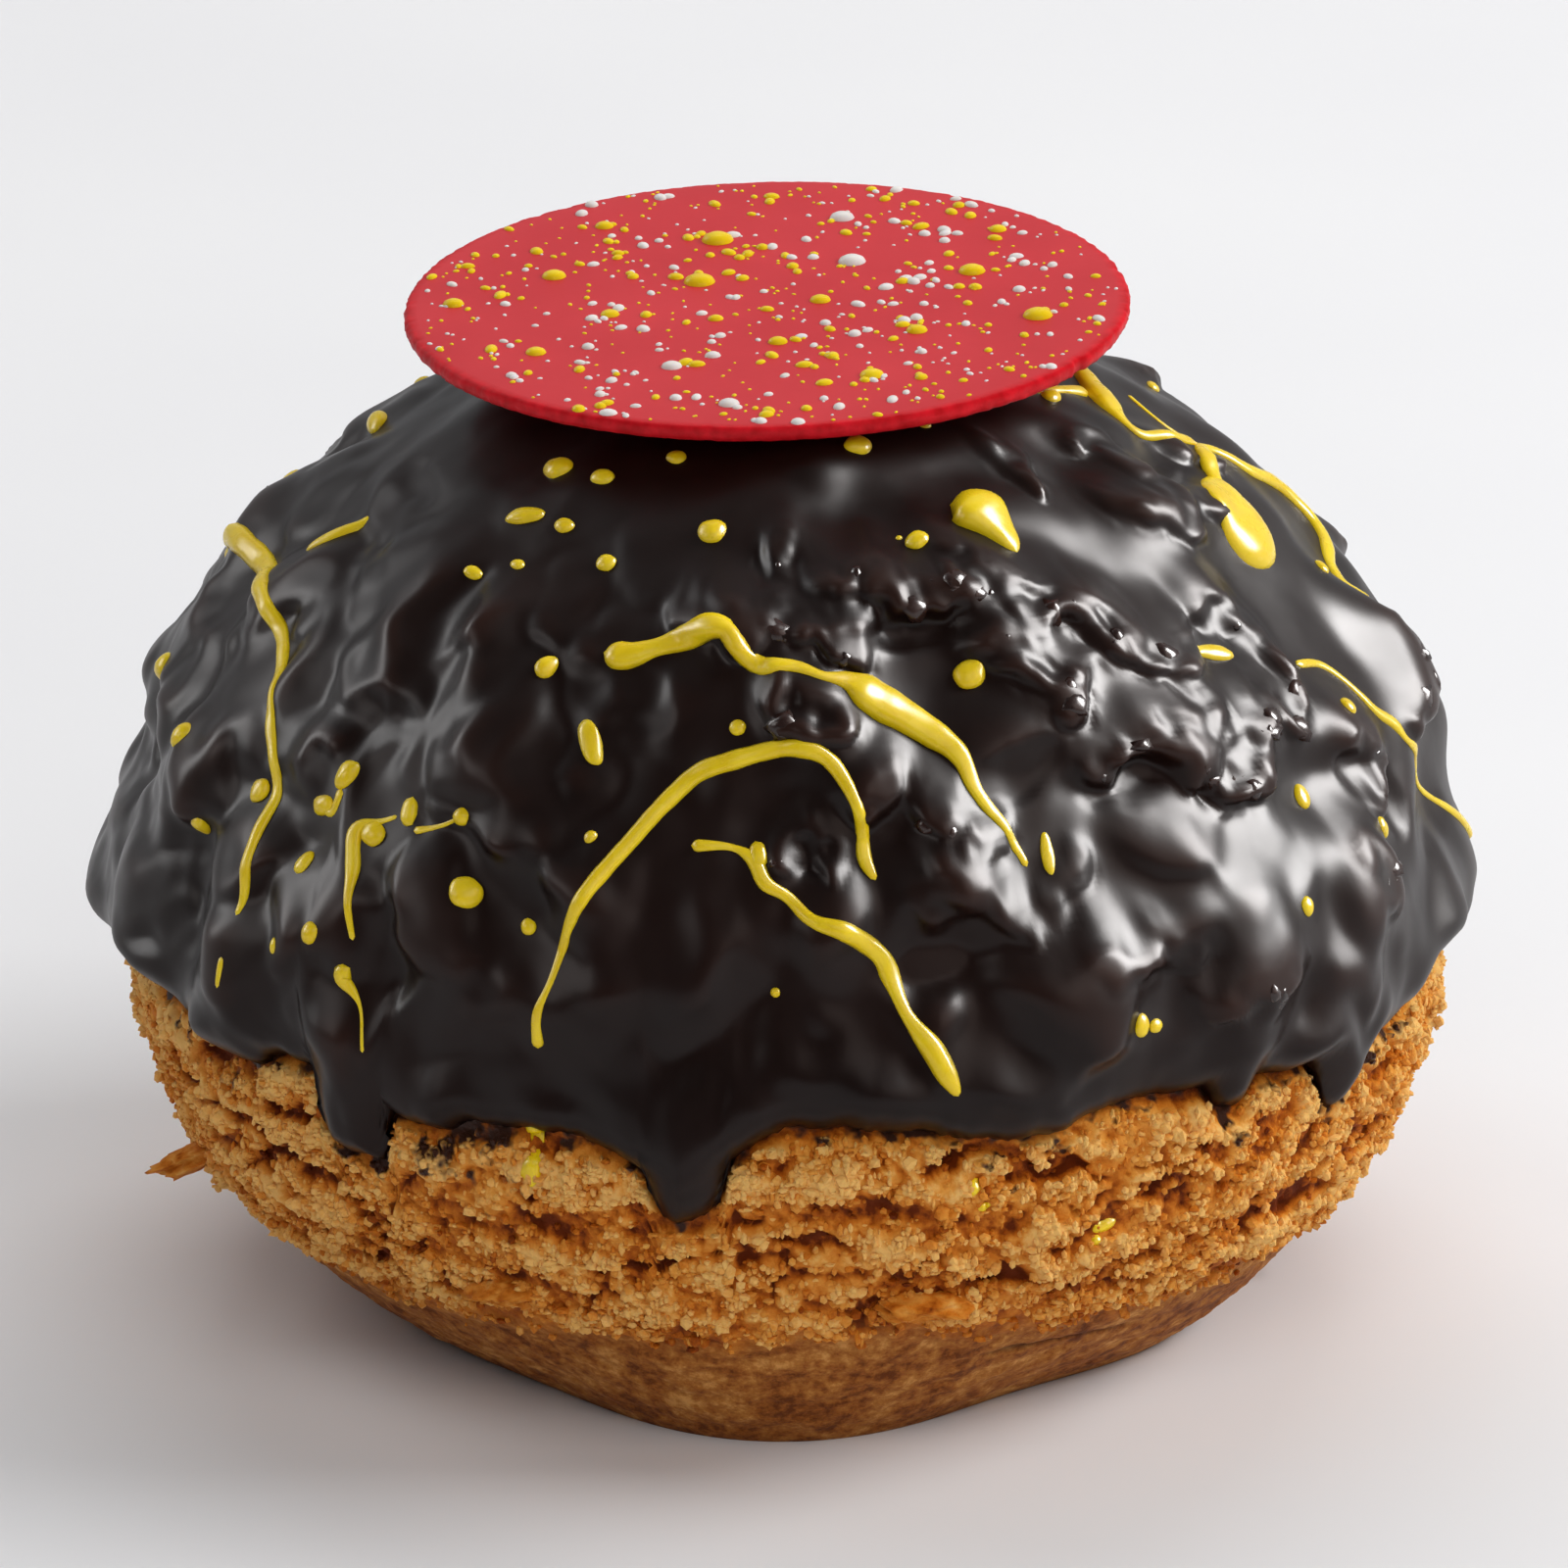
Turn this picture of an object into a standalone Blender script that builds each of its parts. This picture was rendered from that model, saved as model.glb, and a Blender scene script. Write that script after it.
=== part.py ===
"""A chocolate-coated cream puff: a baked bun with a crumbly crust, a lumpy coat of dark
chocolate with yellow drizzle on it, and a thin speckled oval of red chocolate on top.

The bun rests on its flat underside. The origin is the middle of that face, +Z is up and
the front faces -Y. A place on the puff is an azimuth and a polar angle in degrees, about
CENTRE on the axis: azimuth 0 is the front and 90 the +X side, polar 0 is straight up."""

import math
import random

import bmesh
import bpy
import numpy as np
from mathutils import Matrix, Vector
from mathutils.bvhtree import BVHTree

# Driving dimensions, in metres
CENTRE_HEIGHT = 0.025     # of the widest level, where the directions start
BUN_RADIUS = 0.0430       # of the bun under its coat, at the widest level
BUN_TOP = 0.0648          # height of the bun's top under the coat
BUN_DEPTH = 0.0323        # how far the bun's lower half-ellipsoid would reach, uncut
COAT_THICKNESS = 0.0014   # of chocolate between its lumps
CRUST_THICKNESS = 0.0008  # how far the crust stands out under the coat, between its crags
CLEARANCE = 0.0003        # between neighbouring pieces

HEM_HEIGHT = 0.0252       # of the coat's lower edge, between the drips
HEM_LIP = 0.0022          # the stretch over which the edge rounds off
HEM_SWELL = 0.0004        # how much thicker the coat is where it gathers above the hem
MOST_RELIEF = 0.0025      # clods that lie on a swell flatten towards this
CHOUX_HEIGHT = 0.0075     # below this the bun is smooth choux, without crumbs

PLAQUE_LENGTH = 0.0480    # the red oval, left to right
PLAQUE_DEPTH = 0.0400     # front to back, along its own face
PLAQUE_THICKNESS = 0.0011
PLAQUE_TILT = math.radians(7.2)   # front edge down
PLAQUE_ROLL = math.radians(-1.4)  # right edge up
PLAQUE_SHIFT = (-0.0013, -0.0010) # of the oval's middle from the axis

COLUMNS = 120             # points round each ring
DOME_ROWS = 24            # rings on the coat's outside
TOP_ROWS = 8              # the first of them have half as many points
HIDDEN_STEP = 4           # the faces hidden under the coat use every fourth of those rings
CRUST_ROWS = 9            # rings from the hem down to the flat underside
PLAQUE_SIDES = 48
STROKE_SIDES = 5

CENTRE = np.array((0.0, 0.0, CENTRE_HEIGHT))

# Where the bun's foot is wider: azimuth, spread in degrees, and how much further the lower
# half-ellipsoid reaches there, in metres
FOOT_LOBES = ((-1, 22, 0.0070), (62, 24, 0.0018), (150, 35, 0.0030), (-135, 30, 0.0020))

# Tongues of chocolate that run down from the hem: azimuth, half width in degrees, length
# in metres, and how blunt they are (1 is a point, 4 a round-ended tongue)
DRIPS = (
    (-86, 7.0, 0.0014, 2), (-55, 6.5, 0.0015, 2), (-40, 4.2, 0.0058, 4),
    (-33, 5.0, 0.0014, 2), (-9, 8.5, 0.0074, 1), (20, 8.0, 0.0008, 2),
    (41, 2.8, 0.0020, 2), (55, 4.2, 0.0046, 1), (66, 8.0, 0.0008, 2), (88, 7.0, 0.0018, 2),
    (108, 5.0, 0.0030, 3), (127, 7.0, 0.0052, 1), (151, 7.0, 0.0020, 2),
    (171, 4.4, 0.0056, 4), (-163, 8.5, 0.0022, 2), (-138, 4.6, 0.0042, 3),
    (-112, 7.0, 0.0026, 2),
)

# Clods of crust that show through the chocolate and set the puff's outline: azimuth,
# polar angle, half length and half width and height in millimetres, and how far the long
# side is turned from level, in degrees
MAIN_CLODS = (
    (180, 8, 7.0, 6.0, 1.7, 0), (82, 62, 6.5, 4.2, 2.6, 70), (92, 72, 6.0, 3.6, 1.6, 80),
    (-94, 51, 4.6, 4.0, 3.4, 40), (86, 86, 6.5, 5.0, 1.1, 80), (-62, 84, 7.5, 4.6, 1.5, 85),
    (-91, 86, 6.0, 5.0, 1.2, 80),
    (-46, 50, 9.0, 3.0, 1.1, 75), (-33, 52, 8.0, 3.0, 1.0, 80), (-24, 66, 5.0, 3.6, 1.2, 20),
    (-30, 78, 8.0, 4.2, 1.0, 10), (-3, 45, 5.0, 2.8, 1.6, 20), (10, 42, 4.2, 3.0, 1.7, -10),
    (22, 45, 6.0, 3.0, 1.6, 15), (33, 49, 6.5, 3.2, 1.7, 20), (2, 53, 4.6, 3.4, 1.6, 30),
    (24, 56, 5.6, 4.0, 1.7, -20), (40, 57, 5.0, 3.2, 1.8, 60), (52, 62, 6.2, 3.4, 1.7, 10),
    (38, 70, 6.4, 4.4, 1.8, 10), (58, 76, 6.6, 4.2, 1.7, 30), (22, 80, 9.0, 4.4, 1.4, 5),
    (52, 84, 6.0, 4.4, 1.5, 70), (36, 36, 5.0, 3.0, 1.3, 25), (58, 40, 5.4, 3.2, 1.5, 10),
)
LOOSE_CLODS = 95          # more clods of this kind, scattered by rule
SWELLS = 16               # broad rises of the whole surface

# The crust's own crags below the coat, in the same form
MAIN_CRAGS = (
    (-54, 104, 6.0, 2.6, 1.4, -10), (-20, 103, 7.0, 2.6, 1.5, 5), (8, 100, 6.5, 2.4, 1.6, -8),
    (26, 104, 7.0, 2.6, 1.7, -5), (44, 100, 5.5, 3.0, 1.6, 20), (60, 103, 5.0, 2.6, 1.3, 60),
    (0, 111, 8.0, 2.0, 1.2, 3), (-34, 110, 6.0, 2.2, 1.2, -5), (22, 112, 7.0, 1.8, 1.2, -4),
)
LOOSE_CRAGS = 150

# Flakes that stand out of the crust: azimuth, polar angle, half length and half thickness
# and reach in millimetres, and how far the long side is turned from level
FLAKES = (
    (-77, 109, 2.4, 0.9, 3.9, -25), (88, 121, 1.6, 1.1, 2.4, 20), (13, 107, 3.4, 1.0, 1.9, 5),
    (-27, 108, 2.8, 1.0, 1.9, -10), (135, 108, 2.6, 1.0, 2.0, 10), (-140, 106, 3.0, 1.0, 2.0, -8),
)

# Drizzle: each stroke's azimuths, polar angles and widths in millimetres
STROKES = (
    ((-21, 49, 2.1), (-15, 48, 1.5), (-9, 47, 1.9), (-3, 49, 1.3), (4, 51, 0.9),
     (9, 52, 2.9), (15, 55, 2.0), (19, 62, 1.1), (22, 68, 0.6)),
    ((8, 68, 0.6), (7, 63, 1.0), (4, 58, 1.1), (-3, 57, 1.3), (-9, 59, 1.3),
     (-15, 66, 1.1), (-20, 76, 0.7), (-21, 83, 1.0)),
    ((-9, 65, 0.9), (-5, 65, 0.6), (-2, 68, 1.0), (4, 71, 1.2), (9, 76, 1.5),
     (11, 80, 1.2), (13, 84, 1.5), (14, 86, 0.7)),
    ((-88, 54, 1.8), (-76, 53, 1.5), (-65, 56, 1.1), (-57, 63, 0.9), (-53, 71, 0.8),
     (-52, 79, 0.6)),
    ((-42, 67, 1.1), (-41, 71, 1.1), (-40, 75, 0.7), (-39, 80, 0.8)),
    ((122, 28, 1.0), (110, 29, 1.9), (92, 27, 1.2), (80, 30, 2.5), (76, 34, 1.0),
     (86, 39, 1.1), (91, 43, 1.1), (97, 50, 1.4), (94, 56, 1.2), (86, 59, 0.7)),
    ((56, 21, 0.8), (66, 25, 0.8), (78, 29, 1.2)),
    ((63, 58, 0.9), (69, 61, 0.8), (73, 68, 0.8), (78, 72, 0.8), (84, 78, 0.7),
     (90, 83, 1.3)),
    ((-150, 30, 1.6), (-142, 40, 1.1), (-140, 54, 1.3), (-147, 66, 0.8)),
    ((168, 34, 0.8), (158, 45, 1.8), (160, 58, 1.1), (170, 68, 0.9), (172, 78, 1.2)),
    ((130, 52, 0.8), (136, 62, 1.5), (130, 72, 1.0), (124, 78, 0.7)),
)

# The largest splashes of drizzle: azimuth, polar angle, length and width in millimetres,
# and how far the long side is turned from level
SPLASHES = (
    (75, 46, 4.8, 4.2, 70), (29, 34, 3.4, 3.0, 60), (20, 51, 2.0, 2.0, 0),
    (-29, 71, 2.3, 2.0, 0), (-20, 57, 3.4, 1.5, -60), (51, 54, 2.9, 1.3, -25),
    (-104, 51, 2.9, 2.0, 20), (-70, 46, 4.4, 1.1, 65), (-43, 31, 1.9, 1.6, 0),
    (-41, 37, 2.5, 1.2, 25), (18, 38, 1.7, 1.6, 0), (54, 68, 1.8, 1.2, 70),
    (-37, 66, 1.7, 1.4, 60), (148, 50, 2.4, 1.8, 30), (-120, 62, 2.2, 1.6, 0),
)

SPECKLES = 18             # raised drops on the red oval that show from a step away


def azimuths(count):
    """This many azimuths all round, in degrees."""
    return np.arange(count) / count * 360


def directions(azimuth, polar):
    """Unit vectors for azimuths and polar angles in degrees, one row each."""
    a, p = np.radians(azimuth), np.radians(polar)
    return np.stack((np.sin(p) * np.sin(a), -np.sin(p) * np.cos(a), np.cos(p)), axis=-1)


def bun_depth(azimuth):
    """How far the lower half-ellipsoid reaches at an azimuth."""
    depth = BUN_DEPTH
    for place, spread, extra in FOOT_LOBES:
        apart = (azimuth - place + 180) % 360 - 180
        depth = depth + extra * np.exp(-((apart / spread) ** 2))
    return depth


def bun_distance(ways):
    """How far the smooth bun reaches from CENTRE along unit vectors."""
    upper = ways[..., 2] >= 0
    azimuth = np.degrees(np.arctan2(ways[..., 0], -ways[..., 1]))
    height = np.where(upper, BUN_TOP - CENTRE_HEIGHT, bun_depth(azimuth))
    level = np.hypot(ways[..., 0], ways[..., 1])
    reach = 1 / np.hypot(level / BUN_RADIUS, ways[..., 2] / height)
    down = np.maximum(-ways[..., 2], 1e-6)
    return np.minimum(reach, CENTRE_HEIGHT / down)


def bump_frame(azimuth, polar, turn):
    """A place on the smooth bun, and three axes there: along the bump, across it, outwards."""
    out = directions(azimuth, polar)
    place = CENTRE + out * bun_distance(out)
    level = directions(azimuth + 90, 90)
    slope = np.cross(level, out)
    turned = math.radians(turn)
    along = math.cos(turned) * level + math.sin(turned) * slope
    return place, along, np.cross(out, along), out


def bump_height(points, bump):
    """A smooth mound's height, in metres, over points on the smooth bun."""
    azimuth, polar, length, width, height, turn = bump
    place, along, across, out = bump_frame(azimuth, polar, turn)
    offset = (points - place) * 1000
    square = (
        (offset @ along / length) ** 2
        + (offset @ across / width) ** 2
        + (offset @ out / length) ** 2
    )
    return height / 1000 * np.clip(1 - square, 0, 1) ** 1.5


def scattered(count, seed, polar_range, length, width, height, turn):
    """Bumps laid evenly at random over a band; each size is drawn from its own range."""
    draw = random.Random(seed)
    low, high = (math.cos(math.radians(p)) for p in polar_range)
    return [
        (
            draw.uniform(-180, 180),
            math.degrees(math.acos(draw.uniform(low, high))),
            draw.uniform(*length),
            draw.uniform(*width),
            draw.uniform(*height),
            draw.uniform(*turn),
        )
        for _ in range(count)
    ]


def relief(points, bumps):
    """The highest of the bumps at each point, as clods lie side by side."""
    found = np.zeros(points.shape[:-1])
    for bump in bumps:
        found = np.maximum(found, bump_height(points, bump))
    return found


def coat_relief(points):
    """How far the coat's lumps stand out from its even thickness."""
    clods = list(MAIN_CLODS) + scattered(
        LOOSE_CLODS, 11, (22, 92), (3.4, 6.0), (2.6, 4.0), (0.5, 1.5), (-30, 90)
    )
    swells = scattered(SWELLS, 5, (15, 90), (14, 20), (12, 16), (0.3, 0.7), (0, 90))
    total = relief(points, clods) + sum(bump_height(points, swell) for swell in swells)
    return MOST_RELIEF * np.tanh(total / MOST_RELIEF)


def crust_relief(points):
    """How far the crust's crags stand out below the coat, fading into the smooth choux."""
    crags = list(MAIN_CRAGS) + scattered(
        LOOSE_CRAGS, 23, (90, 114), (2.6, 5.0), (1.8, 2.8), (0.5, 1.7), (-20, 20)
    )
    crumbly = np.clip(points[..., 2] / CHOUX_HEIGHT - 0.5, 0, 1)
    return (relief(points, crags) + CRUST_THICKNESS) * crumbly


def hem_height(azimuth):
    """Height of the coat's lower edge: wavy all round, with tongues running down."""
    a = np.radians(azimuth)
    height = HEM_HEIGHT + 0.0004 * np.sin(5 * a + 0.8) + 0.0004 * np.sin(9 * a + 2.1)
    for place, half_width, length, blunt in DRIPS:
        apart = (azimuth - place + 180) % 360 - 180
        share = np.clip(1 - np.abs(apart / half_width) ** blunt, 0, 1)
        height = height - length * share
    return height


def hem_polar(azimuth):
    """Polar angle of the coat's lower edge."""
    drop = CENTRE_HEIGHT - hem_height(azimuth)
    return 90 + np.degrees(np.arcsin(drop / BUN_RADIUS))


def dome_ring(azimuth, share):
    """Unit vectors of the ring this share of the way from the top down to the hem."""
    hem = hem_polar(azimuth)
    level = np.degrees(np.arccos((HEM_HEIGHT - CENTRE_HEIGHT) / BUN_RADIUS))
    return directions(azimuth, share * level + (hem - level) * share**5)


def dome_rings(step):
    """The coat's rings from the top to the hem, or every so many of them: each one's share
    of the way to the hem, and its unit vectors. They lie closer together near the hem."""
    rings = []
    for row in range(step, DOME_ROWS + 1, step):
        even = row / DOME_ROWS
        share = 0.8 * even + 0.2 * (1 - (1 - even) ** 2)
        count = COLUMNS // 2 if row <= TOP_ROWS else COLUMNS
        rings.append((share, dome_ring(azimuths(count), share)))
    return rings


def coat_depth(points, share):
    """How far the coat's outside stands above the smooth bun: less towards the rounded hem,
    and more where the chocolate gathers just above it."""
    from_hem = (1 - share) * BUN_RADIUS * math.pi / 2
    near = min(from_hem / HEM_LIP, 1)
    rounded = 0.3 + 0.7 * math.sqrt(1 - (1 - near) ** 2)
    gathered = HEM_SWELL * math.exp(-((from_hem / HEM_LIP - 1) ** 2))
    return CLEARANCE + (COAT_THICKNESS + gathered + coat_relief(points)) * rounded


def stitch(mesh, upper, lower):
    """Triangles between two rings of vertices. Cells are cut along their shorter diagonal,
    so that two solids with rings side by side have sides that match. One ring may have
    twice the points of the other."""
    if len(upper) == len(lower):
        for i in range(len(upper)):
            a, b, c, d = upper[i - 1], upper[i], lower[i], lower[i - 1]
            if (a.co - c.co).length < (b.co - d.co).length:
                corners = ((a, b, c), (a, c, d))
            else:
                corners = ((a, b, d), (b, c, d))
            for triangle in corners:
                mesh.faces.new(triangle)
        return
    coarse, fine = sorted((upper, lower), key=len)
    for i in range(len(coarse)):
        near, far = coarse[i - 1], coarse[i]
        left, middle, right = fine[2 * i - 2], fine[2 * i - 1], fine[2 * i]
        for triangle in ((near, left, middle), (near, middle, far), (far, middle, right)):
            mesh.faces.new(triangle)


def lofted(name, start, rings, end):
    """A closed solid through a point, rings of points, and a last point."""
    mesh = bmesh.new()
    loops = [[mesh.verts.new(point) for point in ring] for ring in rings]
    for point, loop in ((start, loops[0]), (end, loops[-1])):
        tip = mesh.verts.new(point)
        for i in range(len(loop)):
            mesh.faces.new((tip, loop[i - 1], loop[i]))
    for upper, lower in zip(loops, loops[1:]):
        stitch(mesh, upper, lower)
    bmesh.ops.recalc_face_normals(mesh, faces=mesh.faces)
    data = bpy.data.meshes.new(name)
    mesh.to_mesh(data)
    mesh.free()
    data.shade_smooth()
    return bpy.data.objects.new(name, data)


def material(name, colour, roughness):
    """A food's surface: its colour in linear light and how dull it is."""
    made = bpy.data.materials.new(name)
    made.use_nodes = True
    shader = made.node_tree.nodes["Principled BSDF"]
    shader.inputs["Base Color"].default_value = (*colour, 1)
    shader.inputs["Roughness"].default_value = roughness
    shader.inputs["Metallic"].default_value = 0
    return made


def make_bun():
    """The baked bun: smooth under its coat, crumbly below it, and flat underneath."""
    rings = []
    for _, ways in dome_rings(HIDDEN_STEP):
        rings.append(CENTRE + ways * bun_distance(ways)[:, None])
    round_it = azimuths(COLUMNS)
    hem = hem_polar(round_it)
    base_radius = BUN_RADIUS * np.sqrt(1 - (CENTRE_HEIGHT / bun_depth(round_it)) ** 2)
    foot = 90 + np.degrees(np.arctan2(CENTRE_HEIGHT, base_radius))
    for row in range(1, CRUST_ROWS + 1):
        ways = directions(round_it, hem + (foot - hem) * row / CRUST_ROWS)
        smooth = CENTRE + ways * bun_distance(ways)[:, None]
        rings.append(smooth + ways * crust_relief(smooth)[:, None])
    return lofted("bun", (0, 0, BUN_TOP), rings, (0, 0, 0))


def make_coat():
    """The chocolate: a lumpy shell, open below, whose inside follows the bun's rings."""
    outside, inside = [], []
    for share, ways in dome_rings(1):
        reach = bun_distance(ways)
        smooth = CENTRE + ways * reach[:, None]
        outside.append(smooth + ways * coat_depth(smooth, share)[:, None])
    for _, ways in dome_rings(HIDDEN_STEP):
        inside.append(CENTRE + ways * (bun_distance(ways) + CLEARANCE)[:, None])
    bun_top = np.array((0, 0, BUN_TOP))
    top = bun_top + (0, 0, coat_depth(bun_top, 0))
    return lofted("coat", top, [*outside, *inside[::-1]], bun_top + (0, 0, CLEARANCE))


def surface_of(piece):
    """A function that finds the outermost point and its normal on a piece, by direction."""
    tree = BVHTree.FromObject(piece, bpy.context.evaluated_depsgraph_get())

    def outermost(way):
        start = Vector(CENTRE) + Vector(way) * BUN_RADIUS * 2
        point, normal, _, _ = tree.ray_cast(start, -Vector(way))
        return np.array(point), np.array(normal)

    return outermost


def smooth_path(points, per_span):
    """Catmull-Rom interpolation of rows of numbers."""
    rows = np.array(points, float)
    ends = [2 * rows[0] - rows[1], *rows, 2 * rows[-1] - rows[-2]]
    path = []
    for a, b, c, d in zip(ends, ends[1:], ends[2:], ends[3:]):
        for t in np.arange(per_span) / per_span:
            path.append(
                b
                + 0.5 * t * (c - a)
                + t**2 * (a - 2.5 * b + 2 * c - 0.5 * d)
                + t**3 * (1.5 * (b - c) + 0.5 * (d - a))
            )
    return np.array([*path, rows[-1]])


def make_stroke(name, stroke, outermost):
    """A bead of drizzle that follows the coat's surface, half sunk in it."""
    path = smooth_path(stroke, 2)
    places, normals = zip(*(outermost(directions(a, p)) for a, p, _ in path))
    places = np.array(places)
    heading = np.gradient(places, axis=0)
    rings = []
    turns = math.pi / 2 + np.arange(STROKE_SIDES) / STROKE_SIDES * 2 * math.pi
    for place, normal, ahead, (_, _, width) in zip(places, normals, heading, path):
        side = np.cross(normal, ahead)
        side /= np.linalg.norm(side)
        half = width / 2000
        across = side * half * np.cos(turns)[:, None]
        rings.append(place + across + normal * (0.75 * half + 0.0002) * np.sin(turns)[:, None])
    tip = heading[-1] / np.linalg.norm(heading[-1]) * path[-1][2] / 2000
    tail = heading[0] / np.linalg.norm(heading[0]) * path[0][2] / 2000
    return lofted(name, places[0] - tail, rings, places[-1] + tip)


def make_lump(name, place, outwards, level, halves, turn):
    """An ellipsoid with half-axes along a level line turned by this many degrees, across
    it, and outwards."""
    out = Vector(outwards).normalized()
    along = Vector(level) - out * out.dot(Vector(level))
    along = Matrix.Rotation(math.radians(turn), 3, out) @ along.normalized()
    axes = Matrix((along, out.cross(along), out)).transposed()
    mesh = bmesh.new()
    bmesh.ops.create_uvsphere(mesh, u_segments=6, v_segments=4, radius=1)
    turned = axes @ Matrix.Diagonal(halves)
    bmesh.ops.transform(mesh, matrix=turned.to_4x4(), verts=mesh.verts)
    bmesh.ops.translate(mesh, vec=place, verts=mesh.verts)
    data = bpy.data.meshes.new(name)
    mesh.to_mesh(data)
    mesh.free()
    return bpy.data.objects.new(name, data)


def drop_halves(length, width):
    """The half-axes of a drop of drizzle that has settled on the face below it."""
    return length / 2, width / 2, 0.3 * width + 0.0002


def crust_flakes():
    """Flakes that stand out of the bun's crust."""
    flakes = []
    for i, (azimuth, polar, length, thickness, reach, turn) in enumerate(FLAKES):
        out = directions(azimuth, polar)
        place = CENTRE + out * (bun_distance(out) + CRUST_THICKNESS / 2)
        halves = [size / 1000 for size in (length, thickness, reach)]
        level = directions(azimuth + 90, 90)
        flakes.append(make_lump(f"flake_{i}", place, out, level, halves, turn))
    return flakes


def fuse(piece, toppings):
    """Joins toppings to a piece with one Boolean union, and leaves only the piece."""
    group = bpy.data.collections.new("toppings")
    bpy.context.scene.collection.children.link(group)
    for topping in toppings:
        group.objects.link(topping)
    union = piece.modifiers.new("toppings", "BOOLEAN")
    union.operation = "UNION"
    union.operand_type = "COLLECTION"
    union.collection = group
    union.solver = "EXACT"
    bpy.context.view_layer.objects.active = piece
    bpy.ops.object.modifier_apply(modifier=union.name)
    for topping in toppings:
        bpy.data.objects.remove(topping)
    bpy.data.collections.remove(group)


def coat_toppings(coat):
    """The strokes and the largest splashes of yellow drizzle on the coat."""
    outermost = surface_of(coat)
    strokes = [
        make_stroke(f"stroke_{i}", stroke, outermost) for i, stroke in enumerate(STROKES)
    ]
    splashes = []
    for i, (azimuth, polar, length, width, turn) in enumerate(SPLASHES):
        place, normal = outermost(directions(azimuth, polar))
        level = directions(azimuth + 90, 90)
        halves = drop_halves(length / 1000, width / 1000)
        splashes.append(make_lump(f"splash_{i}", place, normal, level, halves, turn))
    return strokes + splashes


def make_plaque():
    """The thin oval, in its own frame: centred on its underside, with a rough cut edge."""
    draw = random.Random(3)
    turns = np.arange(PLAQUE_SIDES) / PLAQUE_SIDES * 2 * math.pi
    rough = np.array([draw.uniform(-0.00012, 0.00012) for _ in turns])
    outline = np.stack(
        (
            (PLAQUE_LENGTH / 2 + rough) * np.cos(turns),
            (PLAQUE_DEPTH / 2 + rough) * np.sin(turns),
            np.zeros(PLAQUE_SIDES),
        ),
        axis=1,
    )
    heights = (1.0, 1.0, 0.72, 0.22, 0.0)
    spans = (0.5, 0.992, 1.0, 1.0, 0.99)
    rings = [
        outline * (span, span, 0) + (0, 0, height * PLAQUE_THICKNESS)
        for height, span in zip(heights, spans)
    ]
    return lofted("plaque", (0, 0, PLAQUE_THICKNESS), rings, (0, 0, 0))


def plaque_speckles():
    """Raised drops spread evenly over the oval's face by a golden-angle spiral."""
    draw = random.Random(8)
    golden = math.pi * (3 - math.sqrt(5))
    up, right = (0, 0, 1), (1, 0, 0)
    drops = []
    for i in range(SPECKLES):
        reach = 0.88 * math.sqrt((i + 0.5) / SPECKLES)
        place = (
            reach * PLAQUE_LENGTH / 2 * math.cos(i * golden),
            reach * PLAQUE_DEPTH / 2 * math.sin(i * golden),
            PLAQUE_THICKNESS,
        )
        size = draw.uniform(0.0010, 0.0018)
        halves = drop_halves(size * 1.2, size)
        drops.append(make_lump(f"speckle_{i}", place, up, right, halves, 0))
    return drops


def rest_on(plaque, coat):
    """Tilts the oval and lowers it until it clears the coat by CLEARANCE."""
    plaque.rotation_euler = (PLAQUE_TILT, PLAQUE_ROLL, 0)
    normal = np.array(plaque.rotation_euler.to_matrix() @ Vector((0, 0, 1)))
    points = np.array([vertex.co[:] for vertex in coat.data.vertices])
    across, along = (points[:, :2] - PLAQUE_SHIFT).T
    under = np.hypot(across / (PLAQUE_LENGTH / 2), along / (PLAQUE_DEPTH / 2)) < 1
    level = (points[under] @ normal).max() + CLEARANCE
    height = (level - normal[:2] @ PLAQUE_SHIFT) / normal[2]
    plaque.location = (*PLAQUE_SHIFT, height)


def main():
    for leftover in list(bpy.data.objects):
        bpy.data.objects.remove(leftover)
    bun, coat, plaque = make_bun(), make_coat(), make_plaque()
    for piece in (bun, coat, plaque):
        bpy.context.scene.collection.objects.link(piece)
    bpy.context.view_layer.update()
    fuse(bun, crust_flakes())
    fuse(coat, coat_toppings(coat))
    fuse(plaque, plaque_speckles())
    rest_on(plaque, coat)
    bun.data.materials.append(material("crust", (0.42, 0.19, 0.065), 0.8))
    coat.data.materials.append(material("dark_chocolate", (0.014, 0.008, 0.007), 0.25))
    plaque.data.materials.append(material("red_chocolate", (0.50, 0.03, 0.035), 0.35))


main()
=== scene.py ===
"""Looks of the chocolate-coated cream puff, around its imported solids.

A place on the puff is an azimuth and a polar angle in degrees about CENTRE on the axis:
azimuth 0 is the front (-Y) and 90 the +X side, polar 0 is straight up. Lengths are in
metres unless a comment says millimetres."""

import functools
import itertools
import math
import random

import bmesh
import bpy
import numpy as np
from mathutils import Euler, Matrix, Vector
from mathutils.bvhtree import BVHTree


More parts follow.
